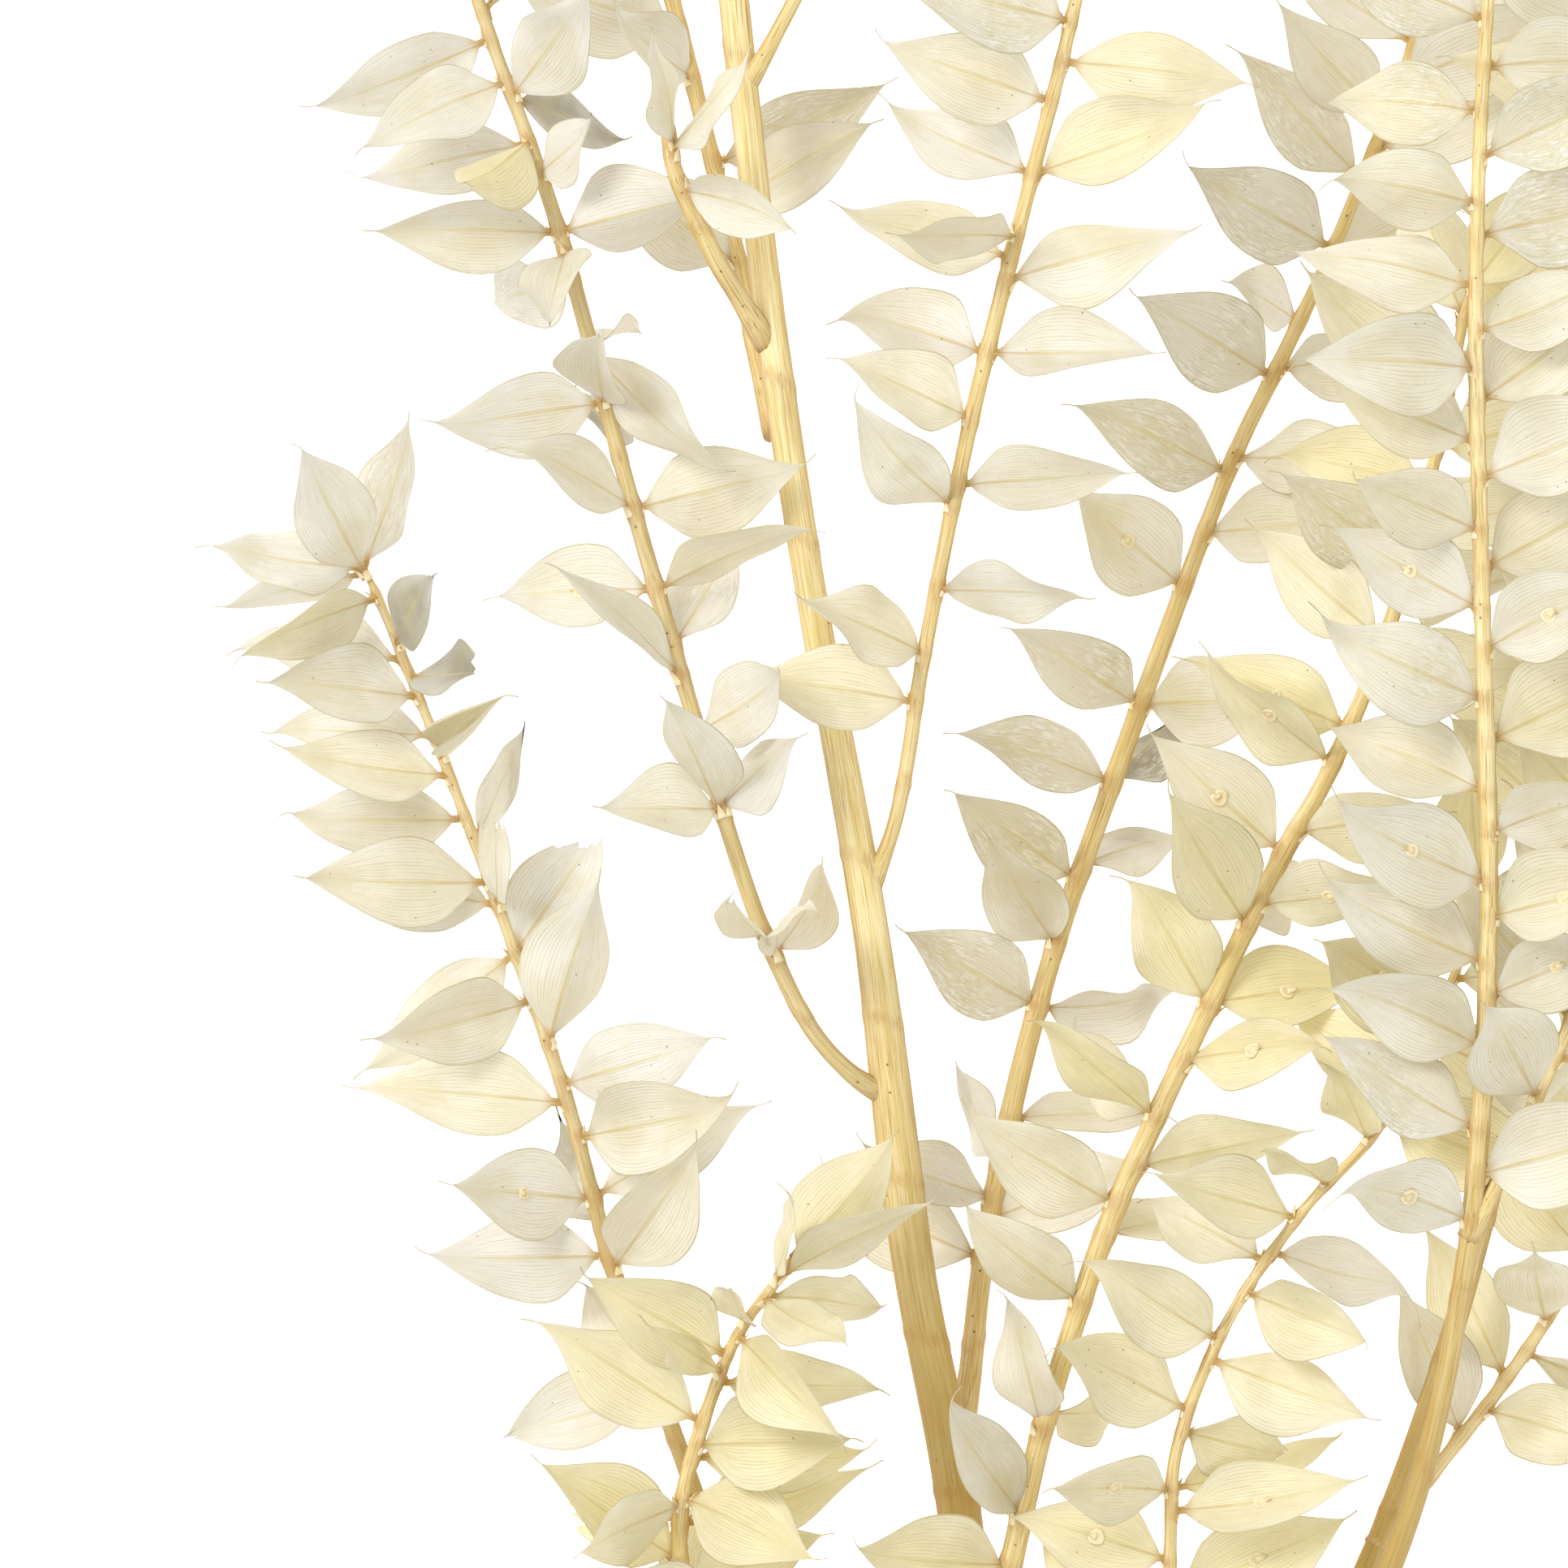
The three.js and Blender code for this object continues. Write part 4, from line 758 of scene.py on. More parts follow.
# %% The node group for age
SPECKS_PER_MM, RARITY_EDGE = 0.35, 0.04
age, given, made = group("age", ["Place", "Cloud size", "Speck size", "Rarity"], ["Clouds", "Specks"])
cloud = age.noise(given["Place"], age.maths("DIVIDE", 1.0, given["Cloud size"]), 3.0)
cell_size = age.maths("DIVIDE", SPECKS_PER_MM, given["Speck size"])
cells = age.put("TexVoronoi", {"Vector": given["Place"], "Scale": cell_size}, feature="F1").outputs
chance = age.put("SeparateColor", {0: cells["Color"]}).outputs[0]
chosen = age.ramp(chance, given["Rarity"], age.maths("ADD", given["Rarity"], RARITY_EDGE))
age.fill(made, {
    "Clouds": age.ramp(cloud, 0.35, 0.7),
    "Specks": age.times(age.ramp(cells["Distance"], 0.05, 0.13, 1.0, 0.0), chosen),
})


def aged_by(tree, cloud_size, speck_size, rarity=0.88):
    values = {"Place": tree.read("place", "Vector"), "Cloud size": cloud_size, "Speck size": speck_size,
              "Rarity": rarity}
    return tree.put("Group", values, node_tree=age.tree).outputs


print("age group has", len(age.tree.nodes), "nodes")

# %% [markdown]
# ## Bleached leaf
# The blade is a thin, pale sheet that scatters light and lets some of it through, which is why the shaded
# sides of the leaves stay so light. A Principled shader gives the surface with its soft gloss, and a
# Translucent shader mixed into it lets the light through. The colours go from cream to yellow to grey as
# each leaf's attributes say, with a tan stalk and a drier, tanner tip.
# Light that bounces on from leaf to leaf doesn't carry veins or specks along, so it meets a plain mix of
# the same colours. That changes nothing to be seen, and makes a render about a third quicker.

# %% The leaf's material
CREAM, PLAIN_CREAM = colour("#F8F5EC"), colour("#EDE9DA")
LET_THROUGH, LEAF_GLOSS = 0.42, 0.7

leaf_skin, tree = new_material("bleached_leaf")
along, across = tree.read("along"), tree.read("across")
yellow, grey, worn = tree.read("yellow"), tree.read("grey"), tree.read("worn")
veined = {"Along": along, "Across": across, "Place": tree.read("place", "Vector")}
marks = tree.put("Group", veined, node_tree=veins.tree).outputs
aged, stains = aged_by(tree, 11.0, 0.55), aged_by(tree, 13.0, 0.4)
edge = tree.ramp(tree.maths("ABSOLUTE", across), 0.2, 0.95)
cloudy = tree.times_plus(aged["Clouds"], 0.6, 0.4)
patches = tree.times(tree.ramp(aged["Clouds"], 0.05, 0.4), worn)
patches = tree.times(patches, tree.times_plus(edge, 0.4, 0.6))
loose = tree.times(tree.ramp(marks["Streaks"], 0.5, 0.56), patches)
bared = tree.times(tree.ramp(marks["Streaks"], 0.34, 0.42, 1.0, 0.0), patches)
stained = tree.times(tree.ramp(stains["Clouds"], 0.3, 0.9), tree.times_plus(edge, -0.8, 1.0))
clouded = tree.times(aged["Clouds"], tree.times_plus(grey, -0.2, 0.5))
greyed, darkness = tree.ramp(grey, 0.0, 0.6), tree.times(tree.read("dark"), cloudy)
rib_tone = tree.blend(tree.ramp(along, 0.12, 0.5), colour("#D3B978"), colour("#DED49E"))
tone = tree.layers(CREAM, [
    (yellow, 1, "#FAF2CA"),
    (greyed, 1, "#F1EFEC"),
    (tree.times(tree.read("olive"), cloudy), 1, "#E2DABC"),
    (darkness, 1, "#857E69"),
    (edge, 0.35, "#FBFAF5"),
    (stained, 0.3, "#D6CB9C"),
    (clouded, 1, "#E6DFBF"),
    (marks["Veins"], 0.4, "#CFC49C"),
    (worn, 0.22, "#DCD5BA"),
    (bared, 0.35, "#A3966E"),
    (loose, 0.85, "#FDFCFA"),
    (marks["Midrib"], 0.65, rib_tone),
    (marks["Margin"], 0.5, "#CBC290"),
    (aged["Specks"], 0.7, "#7A5A36"),
    (tree.ramp(along, 0.9, 1.0), 0.7, "#D2C08F"),  # the drier tip
    (tree.ramp(along, 0.045, 0.13, 1.0, 0.0), 0.9, "#D6AE5E"),  # the stalk
])
relief = tree.bump(tree.times_plus(marks["Veins"], 0.6, loose), 0.5, 0.0002)
skin = tree.put("BsdfPrincipled", {
    "Base Color": tone, "Roughness": tree.ramp(loose, 0.0, 1.0, 0.46, 0.3), "Normal": relief,
    "Specular IOR Level": LEAF_GLOSS})
looked_at = tree.mix(LET_THROUGH, skin, tree.put("BsdfTranslucent", {"Color": tone, "Normal": relief}))
plain = tree.layers(
    PLAIN_CREAM, [(yellow, 1, "#EFE8C2"), (greyed, 1, "#E9E5DA"), (darkness, 0.7, "#A9A28C")])
bounced = tree.mix(
    LET_THROUGH, tree.put("BsdfDiffuse", {"Color": plain}), tree.put("BsdfTranslucent", {"Color": plain}))
tree.show(tree.mix(tree.put("LightPath", {}).outputs["Is Camera Ray"], bounced, looked_at))

# %% [markdown]
# ## The blade of a leaf as a thin closed sheet
# Each blade is a grid of points on the leaf's form, pushed half its thickness to both sides and closed at
# the rim. Rows stand closer at the base and tip and columns at the rim and midrib, where the form changes
# fastest. What makes it look grown comes on top: two halves folded at the midrib, waves that get stronger
# towards the edge, a bent needle at the tip, and now and then a torn end or a rolled blade. For measured
# leaves the letters of their looks decide, and for all others a draw does.
#
# Folds and waves could reach into the next leaf. So each blade is tried with all its play, then with less
# or with a little more bend, until it touches none of those before it.

# %% The grid of a blade
ROWS = 26
even = np.linspace(0, 1, ROWS + 1)
ROW_SHARES = 0.5 * even + 0.25 * (1 - np.cos(np.pi * even))
COLUMN_SHARES = np.array([-1, -0.965, -0.8, -0.54, -0.28, -0.07, 0, 0.07, 0.28, 0.54, 0.8, 0.965, 1])
COLUMNS = len(COLUMN_SHARES) - 1
GRID_U, GRID_V = np.meshgrid(ROW_SHARES, COLUMN_SHARES, indexing="ij")
print("a blade has", 4 * ROWS * COLUMNS + 4 * (ROWS + COLUMNS), "triangles")

# %% What sets a leaf apart
def look_by_chance(rng):
    return (rng.choice(["", "t", "c", "r"], p=[0.86, 0.04, 0.06, 0.04])
            + ("f" if rng.uniform() < 0.12 else "") + ("s" if rng.uniform() < 0.1 else ""))


def nature_of(leaf, rng):
    """Folds, waves, hook, damage and colour of one leaf. The letters of its look push each of them."""
    s = leaf.shoot
    chance = look_by_chance(rng)
    look = leaf.look if leaf.look is not None else chance
    has = {letter: float(letter in look) for letter in "ywgodftcrs"}
    yellow = (s.yellow + 0.35 * has["y"] - 0.3 * has["w"] - 0.15 * has["g"] + 0.2 * has["o"]
              + rng.normal(0, 0.18))
    grey = (s.grey + 0.3 * has["g"] + 0.35 * has["o"] - 0.3 * has["w"] + 0.6 * has["d"]
            + rng.normal(0, 0.14))
    return SimpleNamespace(
        keel=rng.uniform(0.12, 0.42) * (1 if rng.uniform() < 0.8 else -1),
        end=rng.uniform(0.72, 0.9), slant=rng.uniform(-0.12, 0.12), tears=rng.uniform(0, 1, (3, 2)),
        wave=rng.uniform(0.4, 1.4), waves=rng.uniform(0.9, 2.2), phases=rng.uniform(0, 6.3, 2),
        arch=rng.normal(0, 0.5), hook=rng.normal(0, 1.6) + 5 * has["c"], side_hook=rng.normal(0, 1.3),
        lopsided=rng.normal(0, 0.06), slender=rng.uniform(0.02, 0.28), kink=rng.normal(0, 0.8),
        torn=has["t"], rolled=has["r"], scarred=has["s"], dark=has["d"],
        worn=max(has["f"], rng.uniform(0, 0.12)), yellow=np.clip(yellow, 0, 1), grey=np.clip(grey, 0, 1),
        olive=np.clip(0.8 * has["o"] - 0.5 * has["g"] + s.grey - 0.3, 0, 1),
    )


print("letters of the first measured leaves:", [leaf.look for leaf in leaves[:6]])

# %% The form of a blade
SHEET, STALK_HALF, NEEDLE_FROM, NEEDLE_HALF = 0.26, 0.5, 0.93, 0.09
TEAR_DEPTH, TEAR_WAVES = 0.4, (9, 17, 31)
FULLNESS, NARROWER_BASE = 1.08, 0.28
ROLL_CUP, LEAST_CUP, KEEL_ROUND = 1.1, 0.01, 0.012
HOOK_FROM, NEEDLE_POWER = 0.74, 1.5


def ragged(x, waves, draws):
    """A jagged line of zero mean over x, from a few sine waves of drawn height and phase."""
    heights = [between(0.4, 1, draw[0]) / w for w, draw in zip(waves, draws)]
    return sum(h * np.sin(x * w + 6.3 * draw[1]) for h, w, draw in zip(heights, waves, draws))


def blade(leaf, nature, play):
    """The points of a leaf's middle surface on the grid, with its unit normals and shares along.

    play says how much of its folds and waves it shows, and below zero, with the keel turned over."""
    u, v = GRID_U, GRID_V
    if nature.torn:
        u = u * (nature.end + nature.slant * v + TEAR_DEPTH * ragged(v, TEAR_WAVES, nature.tears))
    x = np.minimum(u / NEEDLE_FROM, 1)
    half = half_outline(x) * leaf.half_width * (1 - nature.slender * smooth(x, 0.55, 0.97))
    half = half * (FULLNESS - NARROWER_BASE * (1 - smooth(x, 0.1, 0.3)))
    half = half * (1 + nature.lopsided * np.sign(v))
    half = np.maximum(half, between(STALK_HALF, NEEDLE_HALF, smooth(u, 0.1, 0.9)))
    cup = leaf.cup + (ROLL_CUP * np.sign(leaf.cup) if nature.rolled else 0)
    arc = 2 * (cup if abs(cup) > LEAST_CUP else LEAST_CUP)
    keeled = np.sqrt(v**2 + KEEL_ROUND) - math.sqrt(KEEL_ROUND)
    phase = np.where(v < 0, *nature.phases)
    waves = nature.wave * half_outline(u) * v**2 * np.sin(2 * np.pi * nature.waves * u + phase)
    beyond = np.clip((u - HOOK_FROM) / (1 - HOOK_FROM), 0, 1) ** 2
    height = (half * (1 - np.cos(arc * v)) / arc + play * nature.keel * half * keeled
              + abs(play) * (waves + nature.arch * np.sin(np.pi * u) ** 2)
              + nature.hook * beyond + SHEET)
    needle = np.clip((u - NEEDLE_FROM) / (1 - NEEDLE_FROM), 0, 1) ** NEEDLE_POWER
    sideways = half * np.sin(arc * v) / arc + nature.side_hook * beyond + nature.kink * needle
    normal, flank = turned_axes(leaf, u)
    points = spine(leaf, u) + flank * column(sideways) + normal * column(height)
    normals = np.cross(np.gradient(points, axis=0), np.gradient(points, axis=1))
    normals[-1] = normals[-2]
    normals[0] = normals[1]
    return points, unit(normals), u, half


print("rows stand", ROW_SHARES[:3].round(3), "along a blade, and so on")

# %% A blade that gives way to its neighbours
PLAYS = [(play, 0) for play in (1, -1, 0.6, -0.6, 0.3)]
for more in (0.15, 0.3, 0.45, 0.6):
    PLAYS += [(1, more), (1, -more), (-0.6, -more), (-0.6, more)]
ELBOW_ROOM = 0.25
COARSE = (slice(None, None, 2), slice(None, None, 2))
COARSE_FACES = grid_faces(ROWS // 2, COLUMNS // 2)
grown = []


def free_blade(leaf, nature):
    """The blade with as much play as its neighbours leave it."""
    best = None
    for play, more_bend in PLAYS:
        bent = SimpleNamespace(**{**vars(leaf), "bend": leaf.bend + more_bend})
        surface = blade(bent, nature, play)
        points, normals = surface[0][COARSE], surface[1][COARSE] * ELBOW_ROOM
        both = np.concatenate([points + normals, points - normals]).reshape(-1, 3)
        faces = np.vstack([COARSE_FACES, COARSE_FACES + points[..., 0].size])
        tree = BVHTree.FromPolygons(both.tolist(), faces.tolist())
        low, high = both.min(0), both.max(0)
        close = [other for other, least, most in grown if (least < high).all() and (most > low).all()]
        touches = sum(len(tree.overlap(other)) for other in close)
        if best is None or touches < best[0]:
            best = touches, play, surface, (tree, low, high)
        if not touches:
            break
    grown.append(best[3])
    leaf.touches, leaf.play = best[:2]
    return best[2]


print(len(PLAYS), "ways to place a blade")

# %% Leaves of every shoot
RIB_THICK, RIB_WIDE, STALK_THICK = 0.22, 0.06, 0.55
THINNER_EDGE, THINNER_TIP = 0.45, 0.4
PRESSED_BELOW, PRESSED_THICK, PRESSED_FLOOR = 0.1, 0.14, 0.05


def add_blade(heap, leaf, rng, nature):
    points, normals, u, half = free_blade(leaf, nature)
    rib = RIB_THICK * bell(GRID_V / RIB_WIDE) * (1 - smooth(u, 0.6, 1))
    thick = (SHEET * (1 - THINNER_EDGE * GRID_V**2) * (1 - THINNER_TIP * u) + rib
             + STALK_THICK * (1 - smooth(u, 0.03, 0.11)))
    faces = [off_floor(points + normals * column(side * thick / 2)) for side in (1, -1)]
    lower, upper = faces if leaf.face[2] > 0 else faces[::-1]
    least = lower[..., 2].clip(max=PRESSED_FLOOR) + PRESSED_THICK * (lower[..., 2] < PRESSED_BELOW)
    upper[..., 2] = np.maximum(upper[..., 2], least)
    place = xyz(u * leaf.length, GRID_V * half, rng.uniform(0, 500))
    heap.add(
        np.vstack([f.reshape(-1, 3) for f in faces]), sheet_faces(ROWS, COLUMNS),
        along=np.tile(u.ravel(), 2), across=np.tile(GRID_V.ravel(), 2), place=np.vstack([place, place]),
        **{key: vars(nature)[key] for key in ("yellow", "grey", "worn", "dark", "olive")},
    )
    return points, normals


for s in SHOOTS:
    heap = Heap()
    s.own = [leaf for leaf in leaves if leaf.shoot is s]
    for number, leaf in enumerate(s.own):
        rng = np.random.default_rng([s.seed, number])
        leaf.nature = nature_of(leaf, rng)
        leaf.surface = add_blade(heap, leaf, rng, leaf.nature)
    heap.piece(s.name + "_leaves", s.stem, leaf_skin)
print("leaves with all their play:", sum(leaf.play == 1 for leaf in leaves), "of", len(leaves))
print("leaves that still touch another:", sum(leaf.touches > 0 for leaf in leaves))

# %% [markdown]
# ## Wood
# A shoot of ruscus is ridged lengthwise, a little thicker where each leaf leaves it, and has a collar where
# it leaves the stem. Drying shows the ridges as pale and brown streaks. Where the wood turns away from the
# eye it is painted browner, as painted shade along the sides of each tube. The wood is a tube of rings along
# the route, and the ridges, knots and collars are worked into the radius of each ring.

# %% The wood's material
wood_skin, tree = new_material("dried_wood")
grain = tree.read("grain", "Vector")
aged = aged_by(tree, 14.0, 0.8, rarity=0.72)
streaks, fibres = tree.noise(grain, 1.6, 5.0, 0.6), tree.noise(grain, 5.5, 3.0)
# Facing of the surface to the eye, used below for painted shade at the sides of the wood
facing_for_painted_shade = tree.put("LayerWeight", {"Blend": 0.5}).outputs["Facing"]
tone = tree.layers(colour("#EBD590"), [
    (tree.ramp(streaks, 0.36, 0.66), 1, "#F9EDBC"),
    (tree.read("warm"), 0.4, "#D8B76E"),
    (tree.ramp(fibres, 0.5, 0.66), 0.5, "#A87C30"),  # brown lines
    (tree.ramp(fibres, 0.34, 0.46, 1.0, 0.0), 0.5, "#FAF0CE"),  # pale lines
    (tree.ramp(fibres, 0.64, 0.72), 0.5, "#7D5C2A"),  # a few dark lines
    (aged["Clouds"], 0.3, "#C8A75F"),
    (tree.read("aged"), 0.82, "#A98420"),
    (tree.read("weathered"), 0.25, "#A3977A"),
    # painted shade: browner where the wood turns away from the eye, along the sides of each tube
    (tree.ramp(facing_for_painted_shade, 0.15, 0.85), 0.6, "#A97F33"),
    (tree.read("knot"), 0.7, "#B07E3E"),
    (aged["Specks"], 0.8, "#6B4A25"),
    (tree.read("cut"), 1, "#F3E8C8"),  # the pith
])
tree.show(tree.put("BsdfPrincipled", {
    "Base Color": tone, "Roughness": tree.ramp(streaks, 0.3, 0.7, 0.62, 0.5),
    "Normal": tree.bump(tree.times_plus(fibres, 0.6, streaks), 0.6, 0.0003)}))

# %% The wood of a shoot
RING_STEP, TRUNK_SIDES, SHOOT_SIDES, GRAIN_STRETCH = 1.5, 20, 14, 0.018
KNOT_SWELL, KNOT_SPREAD = 0.34, 1.3
COLLAR_SWELL, COLLAR_SPREAD, COLLAR_KNOT, COLLAR_KNOT_SPREAD = 0.5, 2.6, 0.7, 1.2
SCAR_GAP, SCAR_DEPTH, SCAR_SPREAD, SCAR_SLANT = 26, 0.5, 0.9, 1.5
TAPER, TAPER_LENGTH, CUT_SLANT = 0.45, 5, 1.4
TRUNK_WARMTH, SHOOT_WARMTH, SHOOT_AGE = 0.25, 0.8, 0.45
DARK_UNTIL, LIGHT_FROM = 190, 330
WEATHERED = ("left_trunk", "middle_bow_left")


def add_wood(heap, s, rng, is_trunk):
    sides = TRUNK_SIDES if is_trunk else SHOOT_SIDES
    distance = np.linspace(0, s.length, int(s.length / RING_STEP) + 2)
    point, forward = along_line(s.line, distance)
    right = unit(np.cross(forward, UP))
    upward = np.cross(right, forward)
    angle = circle(sides)
    d, a = distance[:, None], angle[None]
    outward = right[:, None] * np.cos(a)[..., None] + upward[:, None] * np.sin(a)[..., None]
    ridges = 0.035 * np.sin(5 * a + 0.006 * d + rng.uniform(0, 6)) + 0.022 * np.sin(8 * a - 0.01 * d)
    waves = 0.02 * np.sin(0.11 * d + rng.uniform(0, 6))
    radius = thick_at(s, d / s.length) / 2 * (1 + ridges + waves)
    knot = np.zeros(radius.shape)
    for leaf in s.own:
        rightward = leaf.out.dot(np.cross(leaf.forward, UP))
        towards = np.cos(a - math.atan2(leaf.out[2], rightward))
        near = bell((d - leaf.distance) / KNOT_SPREAD)
        knot = np.maximum(knot, near * (0.35 + 0.65 * np.clip(towards, 0, 1)))
    for scar in np.arange(rng.uniform(12, 30), s.bare - 8, SCAR_GAP) * rng.uniform(0.96, 1.04):
        knot = np.maximum(knot, SCAR_DEPTH * bell((d - scar - SCAR_SLANT * np.cos(a + scar)) / SCAR_SPREAD))
    radius = radius + KNOT_SWELL * knot
    if not is_trunk:
        from_stem = d / s.thick[0]
        radius = radius * (1 + COLLAR_SWELL * bell(from_stem / COLLAR_SPREAD))
        knot = np.maximum(knot, COLLAR_KNOT * bell(from_stem / COLLAR_KNOT_SPREAD))
    is_broken = s.name.endswith("broken")
    if not is_broken:
        radius = radius * (1 - TAPER * smooth(d, s.length - TAPER_LENGTH, s.length))
    points = point[:, None] + outward * radius[..., None]
    if is_trunk:
        points[0] += forward[0] * (CUT_SLANT * radius[0] * np.sin(angle))[:, None]
    if is_broken:
        splinters = 1.6 + 1.3 * np.sin(3 * angle) + 0.8 * np.sin(7 * angle)
        points[-1] += forward[-1] * splinters[:, None]
    points = off_floor(points)
    x, z = radius * np.cos(a), radius * np.sin(a)
    grain, place = xyz(x, z, d * GRAIN_STRETCH), xyz(x, z, d)
    old = 1 - smooth(distance, DARK_UNTIL, LIGHT_FROM) if is_trunk else 0 * distance + s.grey * SHOOT_AGE
    heap.add(
        np.vstack([points.reshape(-1, 3), points[0].mean(0), points[-1].mean(0)]),
        tube_faces(len(distance), sides),
        grain=np.vstack([grain, grain[[0, -1]] * 0.1]), place=np.vstack([place, place[[0, -1]]]),
        knot=np.append(knot, [0.2, 0.2]), warm=TRUNK_WARMTH if is_trunk else SHOOT_WARMTH,
        cut=np.append(0 * knot, [float(is_trunk), 0]), aged=np.append(np.repeat(old, sides), [0, 0]),
        weathered=float(s.name in WEATHERED),
    )


trunks = {}
for s in SHOOTS:
    heap = Heap()
    is_trunk = s.stem not in trunks
    trunks.setdefault(s.stem, s)
    add_wood(heap, s, np.random.default_rng([s.seed, 7]), is_trunk)
    heap.piece(s.name + "_wood", s.stem, wood_skin)
print("trunks:", [s.name for s in trunks.values()])

# %% [markdown]
# ## Scales and flower scars
# Under each leaf sits the papery scale that it grew from. Ruscus also flowers in the middle of its leaves,
# and the flower leaves a small round scar on the midrib, with a scale of its own. Both are tiny, and both
# are what tells a ruscus from other dried leaves at a close look.

# %% Their material
scale_skin, tree = new_material("papery_scale")
aged = aged_by(tree, 1.2, 0.5)
tone = tree.layers(colour("#F0E4BF"), [
    (tree.read("rim"), 1, "#CDAC74"), (aged["Clouds"], 0.5, "#F3E6BD"), (aged["Specks"], 1, "#7A5226")])
relief = tree.bump(aged["Clouds"], 0.4, 0.0001)
tree.show(tree.put("BsdfPrincipled", {"Base Color": tone, "Roughness": 0.6, "Normal": relief}))

# %% Flakes and buttons
FLAKE_ROWS, FLAKE_COLUMNS, FLAKE_HALF = 5, 4, 0.07
FLAKE_LENGTHS, FLAKE_WIDTHS, FLAKE_LIFTS = (1.8, 3.0), (1.1, 1.6), (0.3, 1.0)
FLAKE_U, FLAKE_V = np.meshgrid(
    np.linspace(0, 1, FLAKE_ROWS + 1), np.linspace(-1, 1, FLAKE_COLUMNS + 1), indexing="ij")
BUTTON_PROFILE = np.array([[1.15, -0.1], [1.1, 0.06], [0.88, 0.2], [0.66, 0.1], [0.3, 0.08]])
BUTTON_RIM, BUTTON_SIDES = [0.5, 0.35, 0.0, 0.6, 0.4], 10
SCAR_SHARE = 0.43


def add_flake(heap, root, out, face, length, width, lift, rng):
    """A small pointed scale that curls away from what it grows on."""
    half = width / 2 * (1 - FLAKE_U**1.6) + 0.06
    points = (root + out * column(length * FLAKE_U) + np.cross(out, face) * column(half * FLAKE_V)
              + face * column(lift * FLAKE_U**2 - 0.35 * half * FLAKE_V**2 + 0.15)).reshape(-1, 3)
    both = off_floor(np.vstack([points + face * FLAKE_HALF, points - face * FLAKE_HALF]))
    heap.add(both, sheet_faces(FLAKE_ROWS, FLAKE_COLUMNS, flip=True),
             place=both + rng.uniform(0, 90), rim=np.tile(FLAKE_U.ravel(), 2))


def add_button(heap, point, normal, out, size, rng):
    """A round scar with a raised rim and a hollow middle."""
    angle = circle(BUTTON_SIDES)[:, None]
    sideways = unit(np.cross(normal, out))
    round_it = np.cross(sideways, normal) * np.cos(angle) + sideways * np.sin(angle)
    rings = [point + round_it * r * size * (1 + 0.08 * np.sin(3 * angle)) + normal * h * size
             for r, h in BUTTON_PROFILE]
    both = np.vstack([*rings, point - normal * 0.1, point + normal * 0.12 * size])
    heap.add(both, tube_faces(len(rings), BUTTON_SIDES), place=both + rng.uniform(0, 90),
             rim=np.append(np.repeat(BUTTON_RIM, BUTTON_SIDES), [0.4, 0.8]))


scar_row = int(np.argmin(abs(ROW_SHARES - SCAR_SHARE)))
for stem in trunks:
    heap = Heap()
    rng = np.random.default_rng([31, len(stem)])
    scars = 0
    for leaf in [leaf for leaf in leaves if leaf.shoot.stem == stem]:
        forward, s = leaf.forward, leaf.shoot
        outward = unit(leaf.out - forward * leaf.out.dot(forward))
        wood = thick_at(s, leaf.distance / s.length) / 2
        spans = [rng.uniform(*span) for span in (FLAKE_LENGTHS, FLAKE_WIDTHS, FLAKE_LIFTS)]
        add_flake(heap, leaf.root - forward * 1.2 + outward * wood * 1.05, forward, outward, *spans, rng)
        if leaf.nature.scarred:
            point, normal = (part[scar_row, COLUMNS // 2] for part in leaf.surface)
            normal = normal if normal[2] > 0 else -normal
            size = rng.uniform(0.9, 1.3)
            add_button(heap, point + normal * 0.2, normal, leaf.out, size, rng)
            add_flake(heap, point + normal * 0.3, leaf.out, normal, rng.uniform(1.4, 2.0), 1.0, 0.3, rng)
            scars += 1
    heap.piece(stem.replace("stem_", "") + "_scales", stem, scale_skin)
    print(stem, "has", scars, "flower scars")

# %% [markdown]
# ## The twine tie
# A few turns of jute twine hold the four stems near their cut ends, and a knot with two frayed tails lies
# on top. Twine is two yarns twisted round each other, so each yarn is made as a tube that winds round the
# path of the twine. Loose fibres stand out from it.

# %% The twine's material
twine_skin, tree = new_material("jute_twine")
aged = aged_by(tree, 5.0, 0.6)
hairs = tree.noise(tree.read("grain", "Vector"), 4.0, 4.0)
tone = tree.layers(colour("#8E6E43"), [
    (tree.ramp(hairs, 0.35, 0.68), 1, "#CFB27E"), (aged["Clouds"], 0.4, "#B8965F"),
    (aged["Specks"], 0.6, "#5C4225")])
relief = tree.bump(hairs, 0.8, 0.0002)
tree.show(tree.put("BsdfPrincipled", {"Base Color": tone, "Roughness": 0.88, "Normal": relief}))

# %% The stems under the tie
TIE_Y, TIE_WIDE, TIE_CLEAR = -150, 9, 0.3


def stems_at(y):
    """The cut stems as circles (x, z, radius) where they cross a line of equal y."""
    circles = []
    for s in trunks.values():
        ring = int(np.argmax(s.route[:, 1] > TIE_Y))
        before, after = s.route[ring - 1:ring + 1]
        x, _, z = before + (after - before) * (y - before[1]) / (after[1] - before[1])
        here = s.line[1][(ring - 1) * STEPS_PER_SPAN] / s.length
        circles.append((x, z, thick_at(s, here) / 2))
    return circles


def round_stems(y, angle, away):
    """A point at a distance from the stems' common outline, seen from their middle at an angle."""
    x, z = math.cos(angle), math.sin(angle)
    every = [c for edge in (-0.5, 0, 0.5) for c in stems_at(TIE_Y + edge * TIE_WIDE)]
    far = max(every, key=lambda c: c[0] * x + c[1] * z + c[2])
    return np.array([far[0] + (far[2] + away) * x, y, far[1] + (far[2] + away) * z])


print("stems under the tie:", [tuple(round(float(v), 1) for v in c) for c in stems_at(TIE_Y)])

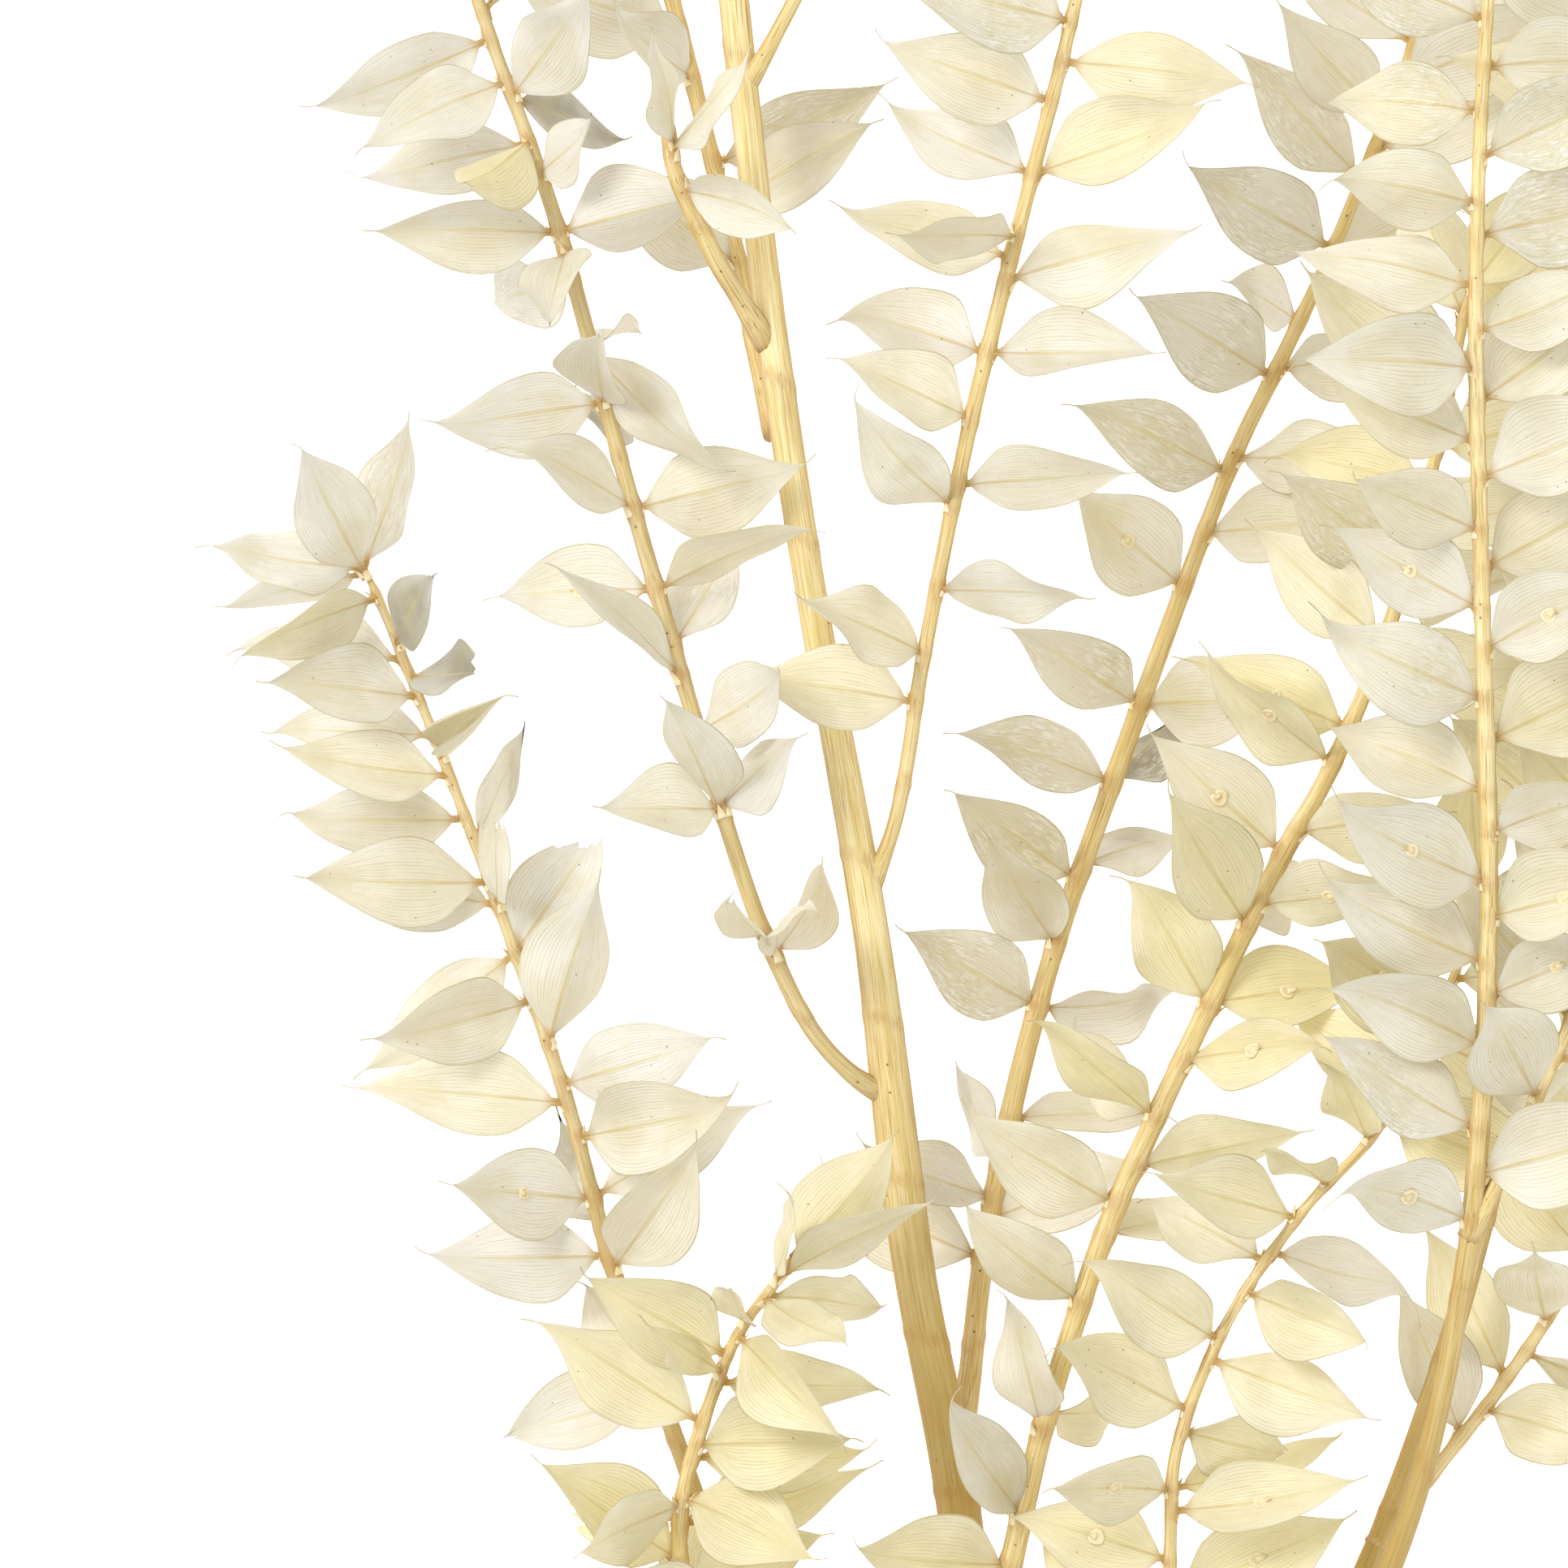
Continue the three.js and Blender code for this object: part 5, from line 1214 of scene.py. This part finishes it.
# %% Yarns that wind round a path
TWINE_THICK, TURNS, STEPS_PER_TURN = 1.7, 5, 48
PATH_STEP, YARN_TWIST, YARN_OFFSET, YARN_HALF, KNOT_AWAY = 0.55, 4.2, 0.25, 0.27, 1.8


def evenly(points, step):
    reach = reach_of(points)
    at = np.linspace(0, reach[-1], int(reach[-1] / step) + 2)
    return np.stack([np.interp(at, reach, points[:, k]) for k in range(3)], 1), at


def add_yarns(path, thick, yarns=2, sides=7, taper=0.0):
    path, at = evenly(path, PATH_STEP)
    ahead = unit(np.gradient(path, axis=0))
    side = np.array([1.0, 0.3, 0.1])
    first = []
    for direction in ahead:
        side = unit(side - direction * side.dot(direction))
        first.append(side)
    first = np.array(first)
    second = np.cross(ahead, first)
    angle = circle(sides)
    ring = first[:, None] * np.cos(angle)[:, None] + second[:, None] * np.sin(angle)[:, None]
    for yarn in range(yarns):
        turn = (2 * np.pi * at / YARN_TWIST + 2 * np.pi * yarn / yarns)[:, None]
        offset, half = (YARN_OFFSET, YARN_HALF) if yarns > 1 else (0, 0.5)
        core = path + (first * np.cos(turn) + second * np.sin(turn)) * thick * offset
        uneven = 1 + 0.07 * np.sin(at * 1.9 + rng.uniform(0, 6))
        radius = thick * half * uneven * (1 - taper * at / at[-1])
        points = (core[:, None] + ring * radius[:, None, None]).reshape(-1, 3)
        both = off_floor(np.vstack([points, core[0], core[-1]]))
        grain = xyz(np.cos(angle - turn) * thick, np.sin(angle - turn) * thick, at[:, None] * 0.15)
        heap.add(both, tube_faces(len(path), sides), place=both, grain=np.vstack([grain, grain[[0, -1]]]))


heap = Heap()
rng = np.random.default_rng(150)
spread = TIE_WIDE - TWINE_THICK
turns = np.array([
    round_stems(TIE_Y - spread / 2 + spread * k / (TURNS * STEPS_PER_TURN),
                2 * np.pi * k / STEPS_PER_TURN + np.pi / 2, TIE_CLEAR + TWINE_THICK / 2)
    for k in range(TURNS * STEPS_PER_TURN + 1)])
add_yarns(turns, TWINE_THICK)
over = [round_stems(TIE_Y, a, TIE_CLEAR + KNOT_AWAY) for a in np.linspace(0, np.pi, 61)]
top = max(over, key=lambda point: point[2])
t = np.linspace(0, 2 * np.pi, 90)
trefoil = [1.05 * (np.sin(t) + 2 * np.sin(2 * t)), 0.8 * (np.cos(t) - 2 * np.cos(2 * t)),
           -0.7 * np.sin(3 * t) + 0.6]
add_yarns(top + np.stack(trefoil, 1), TWINE_THICK)
print("turns of twine:", round(float(reach_of(turns)[-1])), "mm")

# %% Tails, frayed ends and loose fibres
TAIL_SPREAD, FRAYED_FIBRES, LOOSE_FIBRES = 34 * 0.62, 16, 170


def add_fibre(start, way, lengths, wander, thick, sides):
    """A fibre that sets out along a way and wanders off it."""
    steps = np.linspace(0, 1, 6)[:, None]
    fibre = start + way * steps * rng.uniform(*lengths) + rng.normal(0, wander, 3) * steps**2
    add_yarns(fibre, thick, yarns=1, sides=sides, taper=0.7)


for hand in (-1, 1):
    tail = middle_line(top + np.array([
        [0, 0, 0], [hand * 7, 3, 2.2], [hand * 15, 9 * hand, -2], [hand * TAIL_SPREAD, 16 * hand, -8]]))[0]
    add_yarns(tail, TWINE_THICK)
    onward = unit(tail[-1] - tail[-4])
    for _ in range(FRAYED_FIBRES):
        add_fibre(tail[-1], unit(onward + rng.normal(0, 0.32, 3)), (1.5, 4.5), 0.6, 0.16, 4)
for _ in range(LOOSE_FIBRES):
    start = turns[rng.integers(4, len(turns) - 4)] + rng.normal(0, 0.3, 3)
    away = unit(start - [top[0], start[1], 8.0] + rng.normal(0, 4.0, 3))
    add_fibre(start, away, (1.0, 3.0), 0.7, 0.12, 3)
heap.piece("tie_turns_and_knot", "twine_tie", twine_skin)

# %% [markdown]
# ## Floor, light and camera
# The floor is a plain pale sheet. The light is that of a white studio: bright from all round, with one
# large soft lamp from the upper left. The camera looks straight down, as the bunch lies on its side, and
# frames the stretch that the photograph shows.

# %% The floor
WHITE, FLOOR_GREY, FLOOR_GLOW = (1, 1, 1, 1), (0.62, 0.62, 0.62, 1), 0.95
FLOOR_SIZE, FLOOR_DROP = 6, 0.0002
bpy.ops.mesh.primitive_plane_add(size=FLOOR_SIZE, location=(0, 0, -FLOOR_DROP))
floor = bpy.context.object
floor.name = "floor"
paper, tree = new_material("floor_paper")
tree.show(tree.put("BsdfPrincipled", {
    "Base Color": FLOOR_GREY, "Roughness": 0.9, "Emission Color": WHITE, "Emission Strength": FLOOR_GLOW}))
floor.data.materials.append(paper)
print("floor laid")

# %% The light
ALL_ROUND = 0.8
world = bpy.data.worlds.new("studio")
bpy.context.scene.world = world
world.use_nodes = True
Tree(world.node_tree).fill(world.node_tree.nodes["Background"], {"Color": WHITE, "Strength": ALL_ROUND})


def lamp(name, place, power, size):
    """A square lamp that faces the middle of the bunch and isn't seen itself."""
    light = bpy.data.lights.new(name, "AREA")
    light.energy = power
    light.size = size
    thing = bpy.data.objects.new(name, light)
    thing.location = place
    thing.rotation_euler = (-Vector(place)).to_track_quat("-Z", "Y").to_euler()
    thing.visible_camera = False
    bpy.context.collection.objects.link(thing)


lamp("key", (-1.1, 0.8, 1.4), 22.5, 0.8)
lamp("fill", (1.2, -0.6, 1.5), 6, 1.2)

# %% The camera
PICTURE_MM, PICTURE_MIDDLE = 241.5, (-27.4, 114.25, 30.0)
LENS, SENSOR = 300, 36
camera_data = bpy.data.cameras.new("camera")
camera_data.lens = LENS
camera_data.sensor_width = SENSOR
camera_data.clip_end = 20
camera = bpy.data.objects.new("camera", camera_data)
camera.location = Vector(to_frame(PICTURE_MIDDLE)) + Vector((0, 0, PICTURE_MM * MM * LENS / SENSOR))
bpy.context.collection.objects.link(camera)
bpy.context.scene.camera = camera
bpy.context.scene.view_settings.view_transform = "Standard"
print("camera", round(camera.location.z, 2), "m above the floor")
